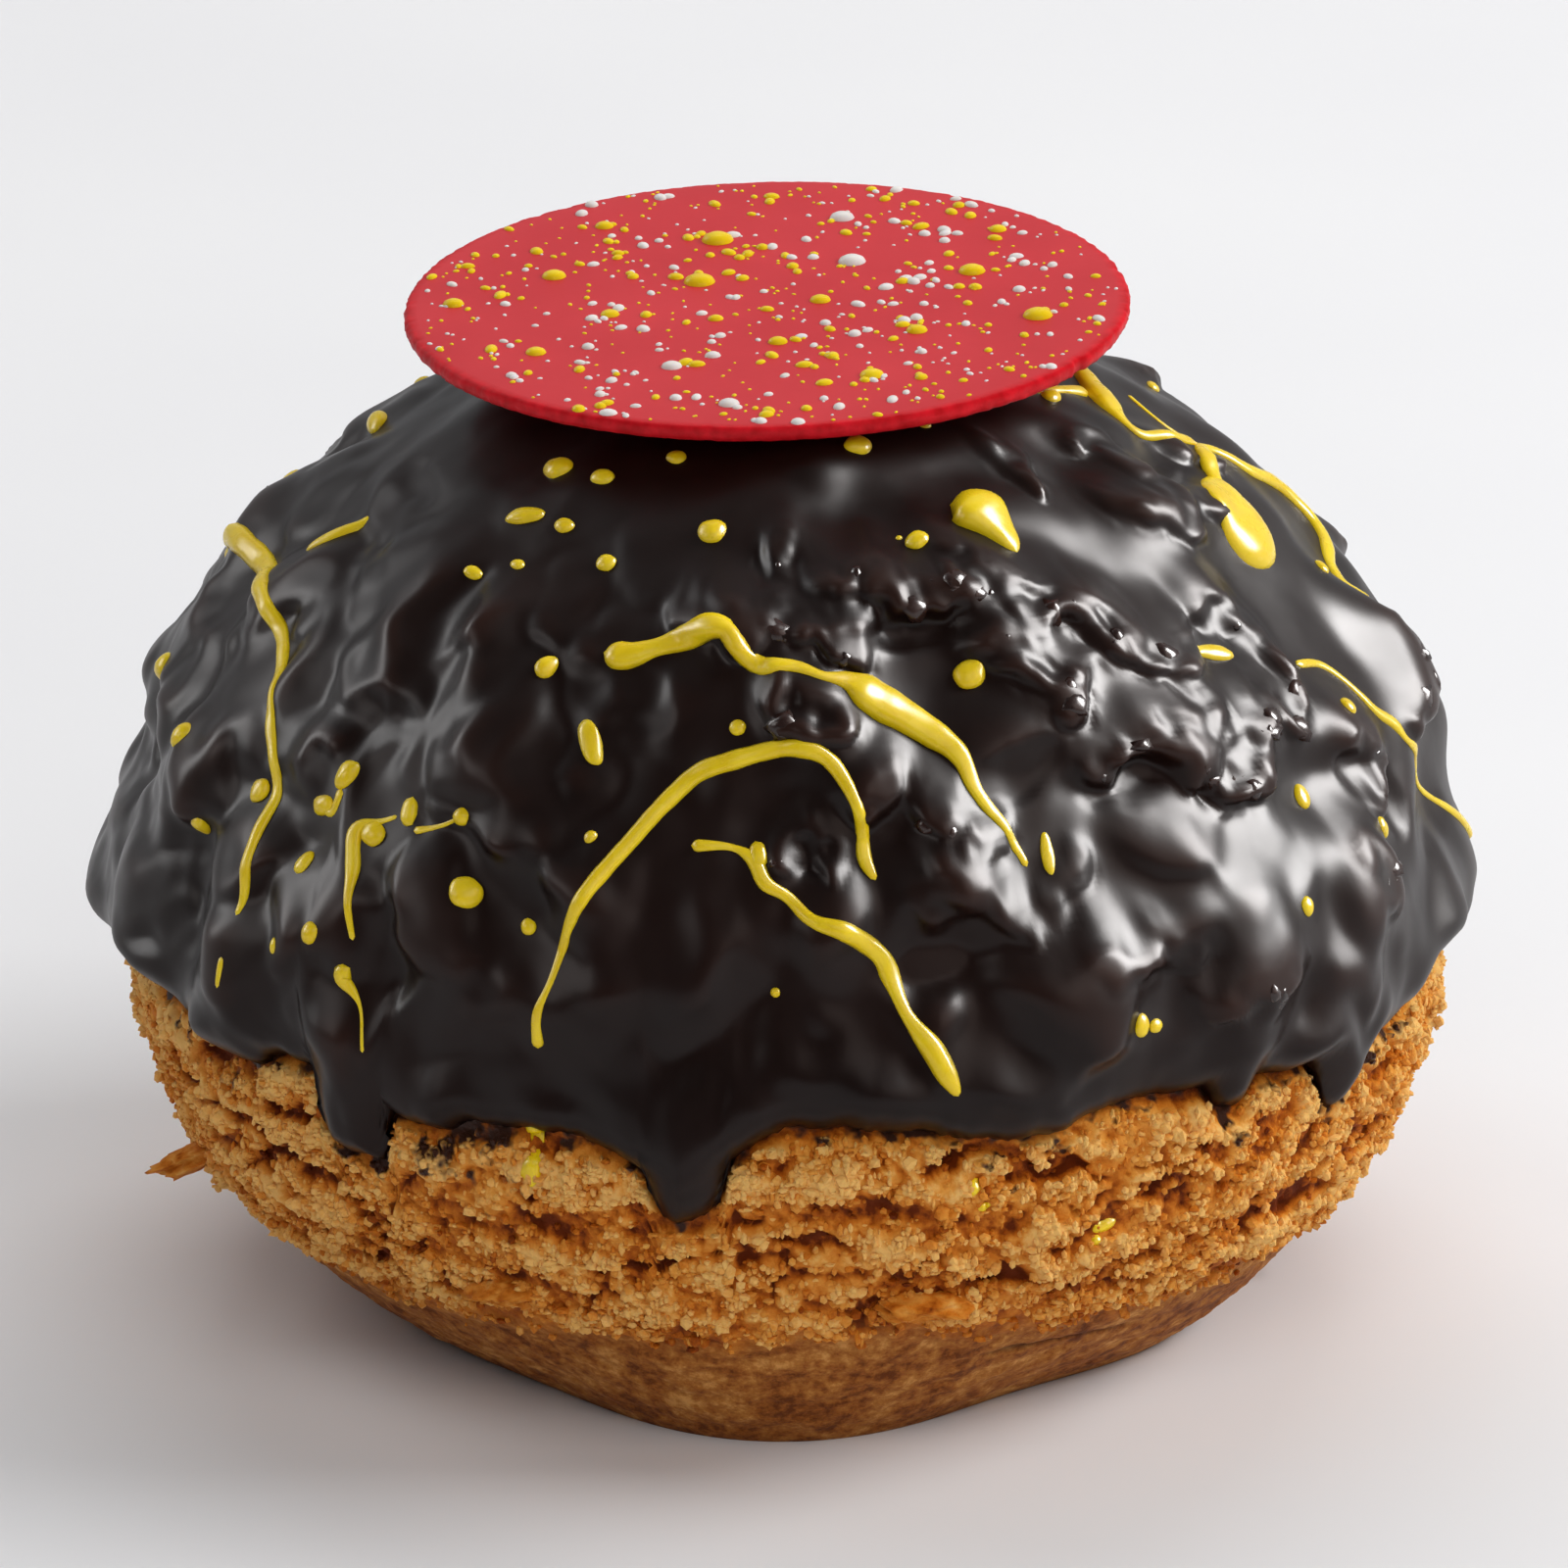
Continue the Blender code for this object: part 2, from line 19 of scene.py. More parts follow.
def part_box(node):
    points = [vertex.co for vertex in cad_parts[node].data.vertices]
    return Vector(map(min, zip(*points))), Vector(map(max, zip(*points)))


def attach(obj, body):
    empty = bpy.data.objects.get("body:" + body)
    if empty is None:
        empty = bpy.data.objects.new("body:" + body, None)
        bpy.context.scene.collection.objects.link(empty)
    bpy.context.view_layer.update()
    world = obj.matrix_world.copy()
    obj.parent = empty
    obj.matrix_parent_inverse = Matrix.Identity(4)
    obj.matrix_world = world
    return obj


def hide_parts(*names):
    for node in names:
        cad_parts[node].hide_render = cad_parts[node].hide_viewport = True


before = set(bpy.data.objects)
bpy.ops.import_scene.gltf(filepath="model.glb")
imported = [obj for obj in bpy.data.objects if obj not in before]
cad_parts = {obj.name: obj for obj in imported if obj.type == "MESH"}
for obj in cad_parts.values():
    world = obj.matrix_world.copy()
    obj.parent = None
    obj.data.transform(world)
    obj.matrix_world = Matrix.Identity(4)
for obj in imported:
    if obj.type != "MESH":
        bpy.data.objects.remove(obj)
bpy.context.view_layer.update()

MM = 0.001

# The puff's driving dimensions, as in the solids
CENTRE_HEIGHT = 0.025
BUN_RADIUS = 0.0430
BUN_TOP = 0.0648
BUN_DEPTH = 0.0323
COAT_THICKNESS = 0.0014
CRUST_THICKNESS = 0.0008
CLEARANCE = 0.0003
HEM_HEIGHT = 0.0252
HEM_LIP = 0.0022
HEM_SWELL = 0.0004
HEM_WAVE = 0.0004
HEM_WAVES = ((5, 0.8), (9, 2.1))    # how many all round, and their shift
CHOUX_HEIGHT = 0.0075
CENTRE = np.array((0.0, 0.0, CENTRE_HEIGHT))

PLAQUE_LENGTH = 0.0480
PLAQUE_DEPTH = 0.0400
PLAQUE_THICKNESS = 0.0011
PLAQUE_TILT = math.radians(7.2)
PLAQUE_ROLL = math.radians(-1.4)
PLAQUE_SHIFT = (-0.0013, -0.0010)

# Where the bun's foot is wider: azimuth, spread in degrees, and further reach downwards
FOOT_LOBES = ((-1, 22, 0.0070), (62, 24, 0.0018), (150, 35, 0.0030), (-135, 30, 0.0020))

# Tongues of chocolate below the hem: azimuth, half width in degrees, length, bluntness.
# The solids' tongue at -40 is a little longer, and they have one longer pointed tongue
# where the two at -9 and -8.4 make a blunt one
DRIPS = (
    (-86, 7.0, 0.0014, 2), (-55, 6.5, 0.0015, 2), (-40, 4.2, 0.0052, 4),
    (-33, 5.0, 0.0014, 2), (-9, 8.5, 0.0038, 1), (-8.4, 3.8, 0.0030, 3), (20, 8.0, 0.0008, 2),
    (41, 2.8, 0.0020, 2), (55, 4.2, 0.0046, 1), (66, 8.0, 0.0008, 2), (88, 7.0, 0.0018, 2),
    (108, 5.0, 0.0030, 3), (127, 7.0, 0.0052, 1), (151, 7.0, 0.0020, 2),
    (171, 4.4, 0.0056, 4), (-163, 8.5, 0.0022, 2), (-138, 4.6, 0.0042, 3),
    (-112, 7.0, 0.0026, 2),
)

# Clods under the chocolate: azimuth, polar angle, half length, half width and height in
# millimetres, and how far the long side is turned from level
MAIN_CLODS = (
    (180, 8, 7.0, 6.0, 1.7, 0), (82, 62, 6.5, 4.2, 2.6, 70), (92, 72, 6.0, 3.6, 1.6, 80),
    (-94, 51, 4.6, 4.0, 3.4, 40), (86, 86, 6.5, 5.0, 1.1, 80), (-62, 84, 7.5, 4.6, 1.5, 85),
    (-91, 86, 6.0, 5.0, 1.2, 80),
    (-46, 50, 9.0, 3.0, 1.1, 75), (-33, 52, 8.0, 3.0, 1.0, 80), (-24, 66, 5.0, 3.6, 1.2, 20),
    (-30, 78, 8.0, 4.2, 1.0, 10), (-3, 45, 5.0, 2.8, 1.6, 20), (10, 42, 4.2, 3.0, 1.7, -10),
    (22, 45, 6.0, 3.0, 1.6, 15), (33, 49, 6.5, 3.2, 1.7, 20), (2, 53, 4.6, 3.4, 1.6, 30),
    (24, 56, 5.6, 4.0, 1.7, -20), (40, 57, 5.0, 3.2, 1.8, 60), (52, 62, 6.2, 3.4, 1.7, 10),
    (38, 70, 6.4, 4.4, 1.8, 10), (58, 76, 6.6, 4.2, 1.7, 30), (22, 80, 9.0, 4.4, 1.4, 5),
    (52, 84, 6.0, 4.4, 1.5, 70), (36, 36, 5.0, 3.0, 1.3, 25), (58, 40, 5.4, 3.2, 1.5, 10),
)
LOOSE_CLODS = 95
SWELLS = 16

# Broken edges of crust under the chocolate, which pools on their upper side: each one's
# height in millimetres, and the azimuths and polar angles that it runs through
EDGES = (
    (1.6, ((21, 42), (28, 45), (34, 46), (38, 50), (43, 53), (47, 53))),
    (1.3, ((23, 49), (27, 51), (30, 53), (29, 55))), (1.1, ((61, 34), (60, 37), (62, 40))),
    (0.9, ((67, 41), (70, 43))), (1.2, ((52, 50), (58, 52))), (1.5, ((59, 55), (57, 59), (55, 61))),
    (1.1, ((40, 58), (43, 57))), (1.4, ((31, 61), (33, 59), (37, 59), (39, 60))),
    (1.5, ((40, 60), (41, 63), (44, 64), (47, 65))), (1.2, ((53, 57), (51, 59), (49, 61))),
    (1.1, ((62, 65), (66, 66), (66, 68), (63, 70))), (1.1, ((57, 73), (59, 75), (58, 77))),
    (1.4, ((-12, 45), (-6, 45), (-5, 47))), (1.4, ((-1, 45), (5, 45), (7, 48))),
    (1.2, ((-1, 51), (0, 54), (5, 54))), (1.3, ((-1, 37), (0, 40), (5, 41), (9, 41))),
    (1.5, ((11, 41), (13, 43), (17, 44), (20, 42), (21, 40))),
    (1.0, ((10, 59), (8, 61), (7, 62))), (0.9, ((0, 66), (2, 64), (4, 66))),
    (1.1, ((13, 62), (16, 64), (19, 64))), (0.8, ((14, 66), (17, 66), (19, 65))),
    (0.6, ((21, 70), (24, 71), (27, 68))), (0.5, ((-18, 43), (-12, 42), (-7, 44))),
    (0.8, ((-72, 40), (-65, 37), (-58, 36))),
    (1.0, ((-44, 44), (-47, 48), (-47, 50), (-46, 53), (-43, 55), (-38, 58))),
    (1.0, ((-36, 48), (-34, 54), (-32, 60))),
    (1.0, ((-38, 61), (-35, 63), (-30, 63), (-25, 64), (-22, 66))),
    (0.8, ((-30, 59), (-26, 60))), (0.8, ((-30, 56), (-27, 55))),
    (0.9, ((-31, 68), (-27, 67))), (0.9, ((-37, 72), (-33, 69))),
    (1.0, ((-46, 76), (-44, 74), (-43, 74))), (1.0, ((-60, 71), (-58, 74), (-56, 76), (-54, 79))),
    (1.0, ((-69, 57), (-68, 64), (-68, 71), (-69, 76))),
    (0.9, ((-68, 66), (-64, 72), (-64, 77), (-66, 81))),
    (1.0, ((-90, 60), (-80, 59), (-73, 59))), (0.7, ((-59, 53), (-61, 50), (-59, 46), (-53, 43))),
    (1.0, ((13, 71), (17, 70), (20, 72))), (1.0, ((27, 76), (31, 75), (35, 77))),
    (1.1, ((37, 81), (40, 80), (44, 80))), (1.2, ((84, 61), (83, 66), (77, 68))),
    (1.2, ((120, 40), (128, 43), (133, 48), (131, 53))), (1.3, ((148, 58), (156, 60), (161, 65))),
    (1.1, ((176, 48), (183, 50), (190, 48))), (1.3, ((-160, 60), (-152, 63), (-149, 68))),
    (1.1, ((-128, 47), (-121, 50), (-118, 55))), (1.2, ((-112, 66), (-106, 69), (-104, 73))),
    (1.2, ((112, 62), (118, 66), (117, 71))), (1.1, ((168, 72), (176, 74), (181, 79))),
    (0.9, ((39, 28), (42, 31), (42, 34))), (1.1, ((58, 31), (61, 32))),
    (1.2, ((78, 37), (82, 40))), (0.9, ((51, 38), (56, 40), (60, 43))),
    (1.1, ((43, 56), (44, 58))),
)

# Pits between them, in the form of the clods, with a depth in place of the height
PITS = (
    (-41, 51, 6.0, 2.6, 1.2, 85), (-80, 57, 3.0, 1.8, 1.1, 0), (-66, 38, 3.5, 1.4, 0.8, 10),
    (31, 49, 4.5, 1.5, 0.9, -25), (44, 62.5, 3.4, 1.5, 1.3, -30), (62, 68, 2.4, 1.5, 1.1, 60),
    (58, 76, 2.8, 1.2, 1.2, 80), (2, 53, 2.6, 1.4, 0.9, 0), (2, 65.5, 1.8, 1.4, 0.9, 0),
    (3, 43.5, 3.4, 1.3, 0.8, 0), (16, 46, 4.0, 1.4, 0.9, -5), (56, 58, 1.5, 3.0, 0.9, 0),
    (-54, 60, 5.0, 1.8, 0.8, 80), (-62, 76, 5.0, 1.6, 0.8, 80), (-18, 52, 4.0, 2.4, 0.6, 20),
    (34, 62, 3.6, 1.5, 0.9, -10), (68, 72, 3.0, 1.6, 0.9, 70), (22, 60, 4.0, 2.0, 0.8, -30),
    (150, 63, 4.0, 1.8, 1.0, 20), (-130, 70, 4.5, 1.8, 1.0, 60), (178, 54, 4.0, 1.8, 0.9, 10),
    (125, 58, 4.0, 1.8, 1.0, 70), (-158, 47, 4.5, 1.8, 0.9, 30), (-92, 75, 8.0, 2.4, 1.7, 5),
)

# The crust's larger crags, in the same form, and the flakes that stand out of it: azimuth,
# polar angle, half length and half thickness and reach in millimetres, and turn
MAIN_CRAGS = (
    (-54, 104, 6.0, 2.6, 1.4, -10), (-20, 103, 7.0, 2.6, 1.5, 5), (8, 100, 6.5, 2.4, 1.6, -8),
    (26, 104, 7.0, 2.6, 1.7, -5), (44, 100, 5.5, 3.0, 1.6, 20), (60, 103, 5.0, 2.6, 1.3, 60),
    (0, 111, 8.0, 2.0, 1.2, 3), (-34, 110, 6.0, 2.2, 1.2, -5), (22, 112, 7.0, 1.8, 1.2, -4),
)
LOOSE_CRAGS = 150
FLAKES = (
    (-77, 109, 2.4, 0.9, 3.9, -25), (88, 121, 1.6, 1.1, 2.4, 20), (13, 107, 3.4, 1.0, 1.9, 5),
    (-27, 108, 2.8, 1.0, 1.9, -10), (135, 108, 2.6, 1.0, 2.0, 10), (-140, 106, 3.0, 1.0, 2.0, -8),
)

# Where thin chocolate stains the crust below the hem: azimuth, spread in degrees, and how
# many times further down than elsewhere
STAINS = ((-30, 11, 4.5), (-62, 8, 1.5), (21, 4, 2.0), (44, 4, 2.0), (59, 5, 4.0), (150, 12, 3.0))

# Yellow drizzle: each stroke's azimuths, polar angles and widths in millimetres. The one
# that starts at 25.5, 34 is a wider splash than the solids'
STROKES = (
    ((-21, 49, 2.0), (-18, 49, 2.0), (-15, 48, 1.4), (-11, 47, 1.8), (-7, 47, 1.6),
     (-5, 49, 1.3), (-2, 50, 1.3), (1, 50, 0.9), (4, 51, 0.8), (6, 51, 1.5), (8, 52, 2.9),
     (12, 54, 2.6), (15, 56, 2.0), (17, 58, 1.4), (18, 61, 1.1), (20, 64, 0.8), (22, 68, 0.5)),
    ((8, 68, 0.4), (7, 66, 1.0), (7, 64, 0.9), (6, 61, 0.9), (4, 58, 1.1), (1, 57, 1.2),
     (-2, 57, 1.2), (-6, 58, 1.3), (-9, 59, 1.3), (-12, 62, 1.2), (-15, 66, 1.1),
     (-17, 69, 1.1), (-19, 73, 0.8), (-20, 77, 0.5), (-21, 80, 0.7), (-21, 83, 0.9)),
    ((-9, 65, 0.8), (-8, 65, 0.9), (-5, 65, 0.5), (-3, 66, 1.0), (-2, 68, 1.0), (0, 69, 0.8),
     (2, 71, 0.9), (5, 72, 1.3), (8, 74, 1.3), (9, 76, 1.4), (10, 79, 0.9), (12, 82, 1.6),
     (13, 84, 1.4), (14, 86, 0.5)),
    ((-3, 64.3, 0.9), (-2.6, 65.6, 1.2), (-2.6, 67, 1.1)),
    ((-98, 58, 1.4), (-90, 54, 1.8), (-77, 53, 1.6), (-67, 55, 1.2), (-61, 58, 1.0),
     (-57, 63, 0.9), (-54, 67, 0.9), (-53, 71, 0.9), (-52, 75, 0.8), (-52, 78, 0.4)),
    ((-52, 81, 0.3), (-52, 82, 0.5), (-52, 84, 0.3)),
    ((-37, 64, 1.1), (-37, 66, 1.3), (-36, 66.5, 0.9)),
    ((-36, 67, 0.7), (-33, 66, 0.3), (-31, 65, 0.3)),
    ((-38, 66, 0.3), (-40, 67, 0.5), (-42, 68, 1.1), (-41, 71, 1.1), (-40, 74, 0.6),
     (-39, 77, 0.4)),
    ((-39, 79, 1.3), (-40, 80, 1.3), (-38, 82, 0.3), (-37, 86, 0.3)),
    ((-47, 67, 0.9), (-45.5, 67.5, 0.6), (-45, 65, 0.7)),
    ((131, 28, 0.6), (128, 30, 0.8), (123, 30, 1.4), (114, 29, 1.9), (104, 27.5, 1.3),
     (92, 26.5, 1.2), (85, 28, 2.0), (80, 30, 2.4), (76, 32, 1.0), (75, 34, 0.9),
     (81, 37, 1.1), (89, 40, 0.9), (91, 42, 0.9), (93, 45, 1.1), (98, 49, 1.4), (99, 53, 1.4),
     (96, 55, 1.3), (91, 56, 1.2), (87, 58, 1.1), (85, 59, 0.6)),
    ((95, 20, 0.5), (91, 23, 0.6), (85, 26, 0.8)),
    ((56, 21, 0.6), (64, 24, 0.7), (73, 26, 0.9), (80, 28, 1.3)),
    ((25.5, 34, 2.2), (27, 34.4, 4.4), (28.6, 36, 4.4), (30, 38.6, 2.8), (30.8, 41, 0.9)),
    ((94, 32, 0.4), (90, 35, 0.4), (89, 38, 0.4)),
    ((75, 43, 1.2), (80, 40, 1.4), (85, 39, 0.9)),
    ((63, 58, 0.7), (67, 59, 0.7), (69, 61, 0.6), (71, 65, 0.8), (73, 67, 0.9), (74, 69, 0.5),
     (77, 71, 0.9), (80, 74, 0.5), (84, 78, 0.6), (90, 83, 1.2)),
    ((104, 53, 0.5), (104, 53.5, 0.6), (103, 55, 0.6), (102, 57, 0.5)),
    ((-150, 30, 1.6), (-145, 35, 1.3), (-142, 40, 1.1), (-140, 47, 1.4), (-140, 54, 1.3),
     (-143, 60, 0.9), (-147, 66, 0.7)),
    ((168, 34, 0.7), (162, 39, 1.2), (158, 45, 1.8), (158, 52, 1.3), (160, 58, 1.0),
     (166, 63, 1.2), (170, 68, 0.8), (172, 73, 1.1), (172, 78, 1.2)),
    ((130, 52, 0.7), (134, 57, 1.2), (136, 62, 1.5), (134, 67, 1.1), (130, 72, 0.9),
     (124, 78, 0.6)),
)

# Drops of drizzle: azimuth, polar angle, length and width in millimetres, and how far the
# long side is turned from level. The one at 73, 45.5 is larger than the solids'
DROPS = (
    (-43, 31, 2.2, 1.9, 0), (-33, 31, 1.7, 1.3, 0), (-41, 37, 2.8, 1.4, 25),
    (-34, 37, 1.4, 1.2, 0), (-42, 44, 1.4, 1.0, 10), (-37, 42, 1.1, 0.9, 0),
    (-25, 40, 1.4, 1.3, 0), (-11, 36, 1.9, 1.8, 0), (-22, 27, 1.4, 1.2, 0),
    (14, 26, 2.0, 1.7, 0), (31, 24, 0.9, 0.8, 0), (18, 38, 1.7, 1.6, 0),
    (20, 51, 2.1, 2.0, 0),
    (-27, 51, 1.8, 1.4, 70), (-20, 57, 3.4, 1.5, -60), (-5, 55, 1.1, 1.1, 0),
    (-18, 65, 0.9, 0.9, 0), (-29, 71, 2.3, 2.1, 0), (-23, 73, 1.1, 1.1, 0),
    (-43, 77, 1.5, 1.3, 90), (-47, 79, 1.1, 0.7, 90), (-47, 72, 1.8, 1.2, 80),
    (-63, 73, 1.6, 1.3, 80), (-56, 68, 1.8, 1.6, 80), (-68, 67, 2.0, 1.5, 70),
    (-86, 66, 2.2, 1.7, 70), (-70, 46, 4.8, 1.2, 65), (-104, 51, 3.2, 2.3, 20),
    (-100, 40, 2.8, 1.7, 10), (-116, 39, 1.6, 1.3, 0), (-116, 29, 2.6, 1.8, 0),
    (-1, 77, 0.7, 0.7, 0), (30, 82, 1.6, 1.3, 80), (31.6, 82.4, 1.1, 1.0, 0),
    (48, 76, 1.4, 1.1, 90), (51, 54, 3.2, 1.3, -25), (64, 63, 1.4, 1.2, 80),
    (54, 68, 1.9, 1.4, 80), (62, 73, 1.2, 0.9, 70), (65, 74, 1.2, 0.9, 80),
    (24, 67, 2.9, 0.9, 85), (-22, 94, 2.3, 1.3, 85), (-22, 90.5, 1.7, 1.2, 80),
    (115, 39, 1.2, 1.0, 0), (67, 26, 1.8, 1.4, 0), (-31, 65, 1.2, 1.2, 0),
    (-40, 68, 1.8, 1.7, 0), (-45, 64, 2.2, 1.5, 70), (-47, 67, 1.9, 1.4, 20),
    (73, 45.5, 7.4, 6.4, 80), (83, 54, 1.5, 1.0, 30), (16, 37, 0.5, 0.5, 0),
    (148, 50, 2.4, 1.8, 30), (-120, 62, 2.2, 1.6, 0), (16, 95, 1.4, 0.9, 60),
    (17, 97, 0.8, 0.6, 10), (29, 101, 1.8, 0.7, 10), (28, 102, 0.8, 0.7, 40),
)
BACK_DROPS = 46           # more drops of the same kind, where the front doesn't show

SPECKLES = 18             # the red oval's largest drops, as in the solids
SMALL_SPECKLES = 760

# How finely the main surfaces are meshed
COAT_COLUMNS = 688
COAT_ROWS = 178
FRONT_SHARE = 0.25        # how much closer together the coat's columns are in front
CRUST_COLUMNS = 880
CRUST_ROWS = 104
GRAINS = 9800             # in each of the crust's two pieces of them
# Those pieces: name, seed, and smallest and largest radius in millimetres
GRAIN_PIECES = (("crust_grains", 7, (0.20, 0.40)), ("crust_sugar", 9, (0.13, 0.28)))
TOP_ROWS = 0.13           # share of the coat's rows with a quarter of the columns
UPPER_ROWS = 0.30         # and, below them, with half
COAT_INNER_RINGS = (0.93, 0.8, 0.6, 0.3)     # shares of the way from the top to the hem
CRUST_INNER_RINGS = (0.85, 0.6, 0.3)
PLAQUE_SIDES = 640
# The oval's edge in section: shares of the way out, and of the thickness
PLAQUE_PROFILE = (
    (0.30, 1.0), (0.6, 1.0), (0.85, 1.0), (0.965, 0.998), (0.988, 0.97), (0.996, 0.90),
    (1.0, 0.76), (1.002, 0.5), (1.0, 0.25), (0.996, 0.08), (0.985, 0.0), (0.6, 0.0),
)

# The coat's relief over its even thickness
COAT_LOWEST = -0.8 * MM
COAT_SOFT_LIMIT = 2.6 * MM      # above it heights level off, at most 1 mm further up
CRUMB_SLOPES = (0.70, 1.20)     # chocolate falls away from crumbs, upwards and sideways
LEDGE_SLOPES = (0.26, 0.60)     # and from the broken edges of crust
OVAL_CALM = 0.9                 # how calm the coat is under the oval, from 0 to 1
FRONT_CALM = 0.5                # low down in front
HEM_CALM = 0.7                  # and along the hem

# Rounded lumps on scattered centres: how far apart these are in metres, a seed, how far
# each lump reaches in units of that, how steep its sides are, and its least share of height
CHUNKS = (0.0056, 133, 0.62, 0.75, 0.15)
KNOBS = (0.0031, 135, 0.66, 1, 0)
PILLOWS = (0.0066, 139, 0.74, 0.7, 0.3)
LEDGE_KNOBS = (0.0023, 143, 0.80, 1, 0.5)
CRUST_CLUMPS = (0.0036, 83, 0.95, 0.7, 0.3)
CRUST_LUMPS = (0.0014, 85, 0.9, 0.7, 0.4)

# Nubs: they sit on edges at least this high in millimetres, with this share of places
# left out
NUB_EDGE = 1.1
NUB_GAPS = 0.64
NUB_SPACING = 0.8 * MM
LOOSE_NUBS = 12
NUB_DEPTH = 0.68          # how deep they sit, in their radii

# The choux band's upper edge: azimuth, spread in degrees, and how much higher it is there
CHOUX_RISE = ((8, 45, 0.0022),)
CRACK_WIDTH = 0.00020
UNSTAINED = 9.0           # the millimetres below the hem given where no stain can reach

# Drizzle: its height as a share of its width, and other sizes in millimetres
STROKE_RISE = 0.34
DROP_RISE = 0.34
WIDEST_RISE = 2.6         # wider drops stand no higher
STROKE_STEP = 0.28
STROKE_ACROSS = 9         # points across a stroke's top side
SMALL_DROP = 0.8          # shorter drops have the fewest points
LARGE_DROP = 2            # longer ones have the most
DROP_SIDES = (10, 18, 26)
SMALL_DROP_ROWS = (0.45, 0.8, 1.0)
DROP_ROWS = (0.25, 0.5, 0.72, 0.88, 0.97, 1.0)
SUNK = 0.03 * MM          # how far the drizzle's top side is sunk at its edge

# Colours, from dark to light where there are several. Those of crumb and choux each come
# with the value that has it. The crumb's dark end is painted shade in its hollows and
# its light end is painted light on its crests
CHOCOLATE = ((0.0062, 0.0020, 0.0013), (0.0105, 0.0034, 0.0022))
THIN_CHOCOLATE = (0.022, 0.0075, 0.0045, 1)
NUB = ((0.014, 0.0062, 0.0050), (0.032, 0.0115, 0.0078))
# Crumb: painted shade in the hollows at the dark end, painted light on the crests at the light end
CRUMB = (
    (0.06, (0.130, 0.020, 0.0015)), (0.28, (0.370, 0.082, 0.004)),
    (0.50, (0.590, 0.180, 0.015)), (0.76, (0.730, 0.305, 0.050)),
    (1.0, (0.830, 0.470, 0.140)),
)
CHOUX = (
    (0.32, (0.140, 0.034, 0.004)), (0.46, (0.300, 0.092, 0.014)),
    (0.58, (0.420, 0.160, 0.030)), (0.74, (0.640, 0.310, 0.085)),
)
CRACK = (0.05, 0.012, 0.003, 1)
STAIN = (0.045, 0.016, 0.009, 1)
YELLOW = ((0.80, 0.55, 0.004), (0.88, 0.64, 0.010))
WHITE = ((0.75, 0.70, 0.66), (0.82, 0.78, 0.75))
OVAL_FACE = ((0.54, 0.018, 0.026), (0.61, 0.026, 0.035))
OVAL_RIM = ((0.46, 0.002, 0.006), (0.70, 0.008, 0.018))
FLOOR = ((0.785, 0.78, 0.79), (0.815, 0.81, 0.815))
FLOOR_HALF = 3.0

# Lamps that light matt surfaces only: azimuth, elevation and distance, size, and watts
MATT_LAMPS = (
    ("key", (94, 34, 0.90), (0.55, 0.20), 5.5),
    ("back", (176, 54, 1.00), (0.80, 0.40), 3.6),
    ("filling", (12, 36, 1.00), (0.90, 0.60), 4.0),
)
# Cards that show only in the gloss of the chocolate and the drizzle: azimuth and
# elevation, size, watts and colour
CARDS = (
    ("right", (92, 33), (0.44, 0.72), 50.0, (1, 0.985, 0.975)),
    ("left", (-102, 22), (0.32, 0.52), 4.4, (1, 1, 1)),
    ("front_right", (48, 30), (0.90, 0.70), 2.5, (1.0, 0.82, 0.75)),
    ("front_left", (-62, 24), (0.36, 0.36), 1.3, (1.0, 0.95, 0.93)),
)
CARD_DISTANCE = 0.95
LIGHT_TARGET = (0, 0, 0.03)
# The one lamp that gloss mirrors too: azimuth, elevation and distance, size, watts, colour
LEFT_LAMP = (-118, 36, 1.10, (0.50, 0.50), 1.7, (0.97, 0.97, 0.98))
# The strength of the light from all round, by how far back it comes from
WORLD_RAMP = {"From Min": -0.4, "From Max": 0.9, "To Min": 0.07, "To Max": 0.45}
WORLD_COLOUR = (0.95, 0.97, 1.0, 1)

CAMERA_TARGET = (-0.00021, 0, 0.03425)
CAMERA_ELEVATION = 19.0
CAMERA_DISTANCE = 0.9089
CAMERA_LENS = 310.8       # millimetres, on a sensor 36 wide


# Numbers that look random but depend only on place and seed


def mixed(cells, seed):
    """A well mixed whole number for each cell of a grid."""
    x, y, z = (cells[..., i].astype(np.uint64) for i in range(3))
    found = x * np.uint64(0x9E3779B97F4A7C15) + y * np.uint64(0xC2B2AE3D27D4EB4F)
    found = found + z * np.uint64(0x165667B19E3779F9) + np.uint64(seed * 7919 + 1)
    found ^= found >> np.uint64(29)
    found *= np.uint64(0xBF58476D1CE4E5B9)
    found ^= found >> np.uint64(32)
    return found


def fractions(whole):
    """Three numbers from 0 to 1 out of each mixed number."""
    parts = [(whole >> np.uint64(shift)) & np.uint64(0xFFFF) for shift in (4, 22, 40)]
    return np.stack(parts, axis=-1) / 65536.0


def noise(points, seed):
    """Smooth noise of about -1 to 1, with features about one unit across."""
    base = np.floor(points).astype(np.int64)
    inside = points - base
    ease = inside**3 * (inside * (inside * 6 - 15) + 10)
    total = np.zeros(points.shape[:-1])
    for corner in itertools.product((0, 1), repeat=3):
        slope = fractions(mixed(base + corner, seed)) * 2 - 1
        share = np.prod(np.where(corner, ease, 1 - ease), axis=-1)
        total += share * np.sum(slope * (inside - corner), axis=-1)
    return total * 1.7


def fractal(points, size, seed, octaves=3):
    """Noise whose largest features are this size, with finer ones on it."""
    total = np.zeros(points.shape[:-1])
    for octave in range(octaves):
        total += noise(points / size * 2**octave, seed + octave) / 2**octave
    return total


def warped(points, size, reach, seed):
    """Points pushed about by noise, so that what is drawn on them isn't regular."""
    push = [fractal(points, size, seed + 10 * axis, 2) for axis in range(3)]
    return points + reach * np.stack(push, axis=-1)


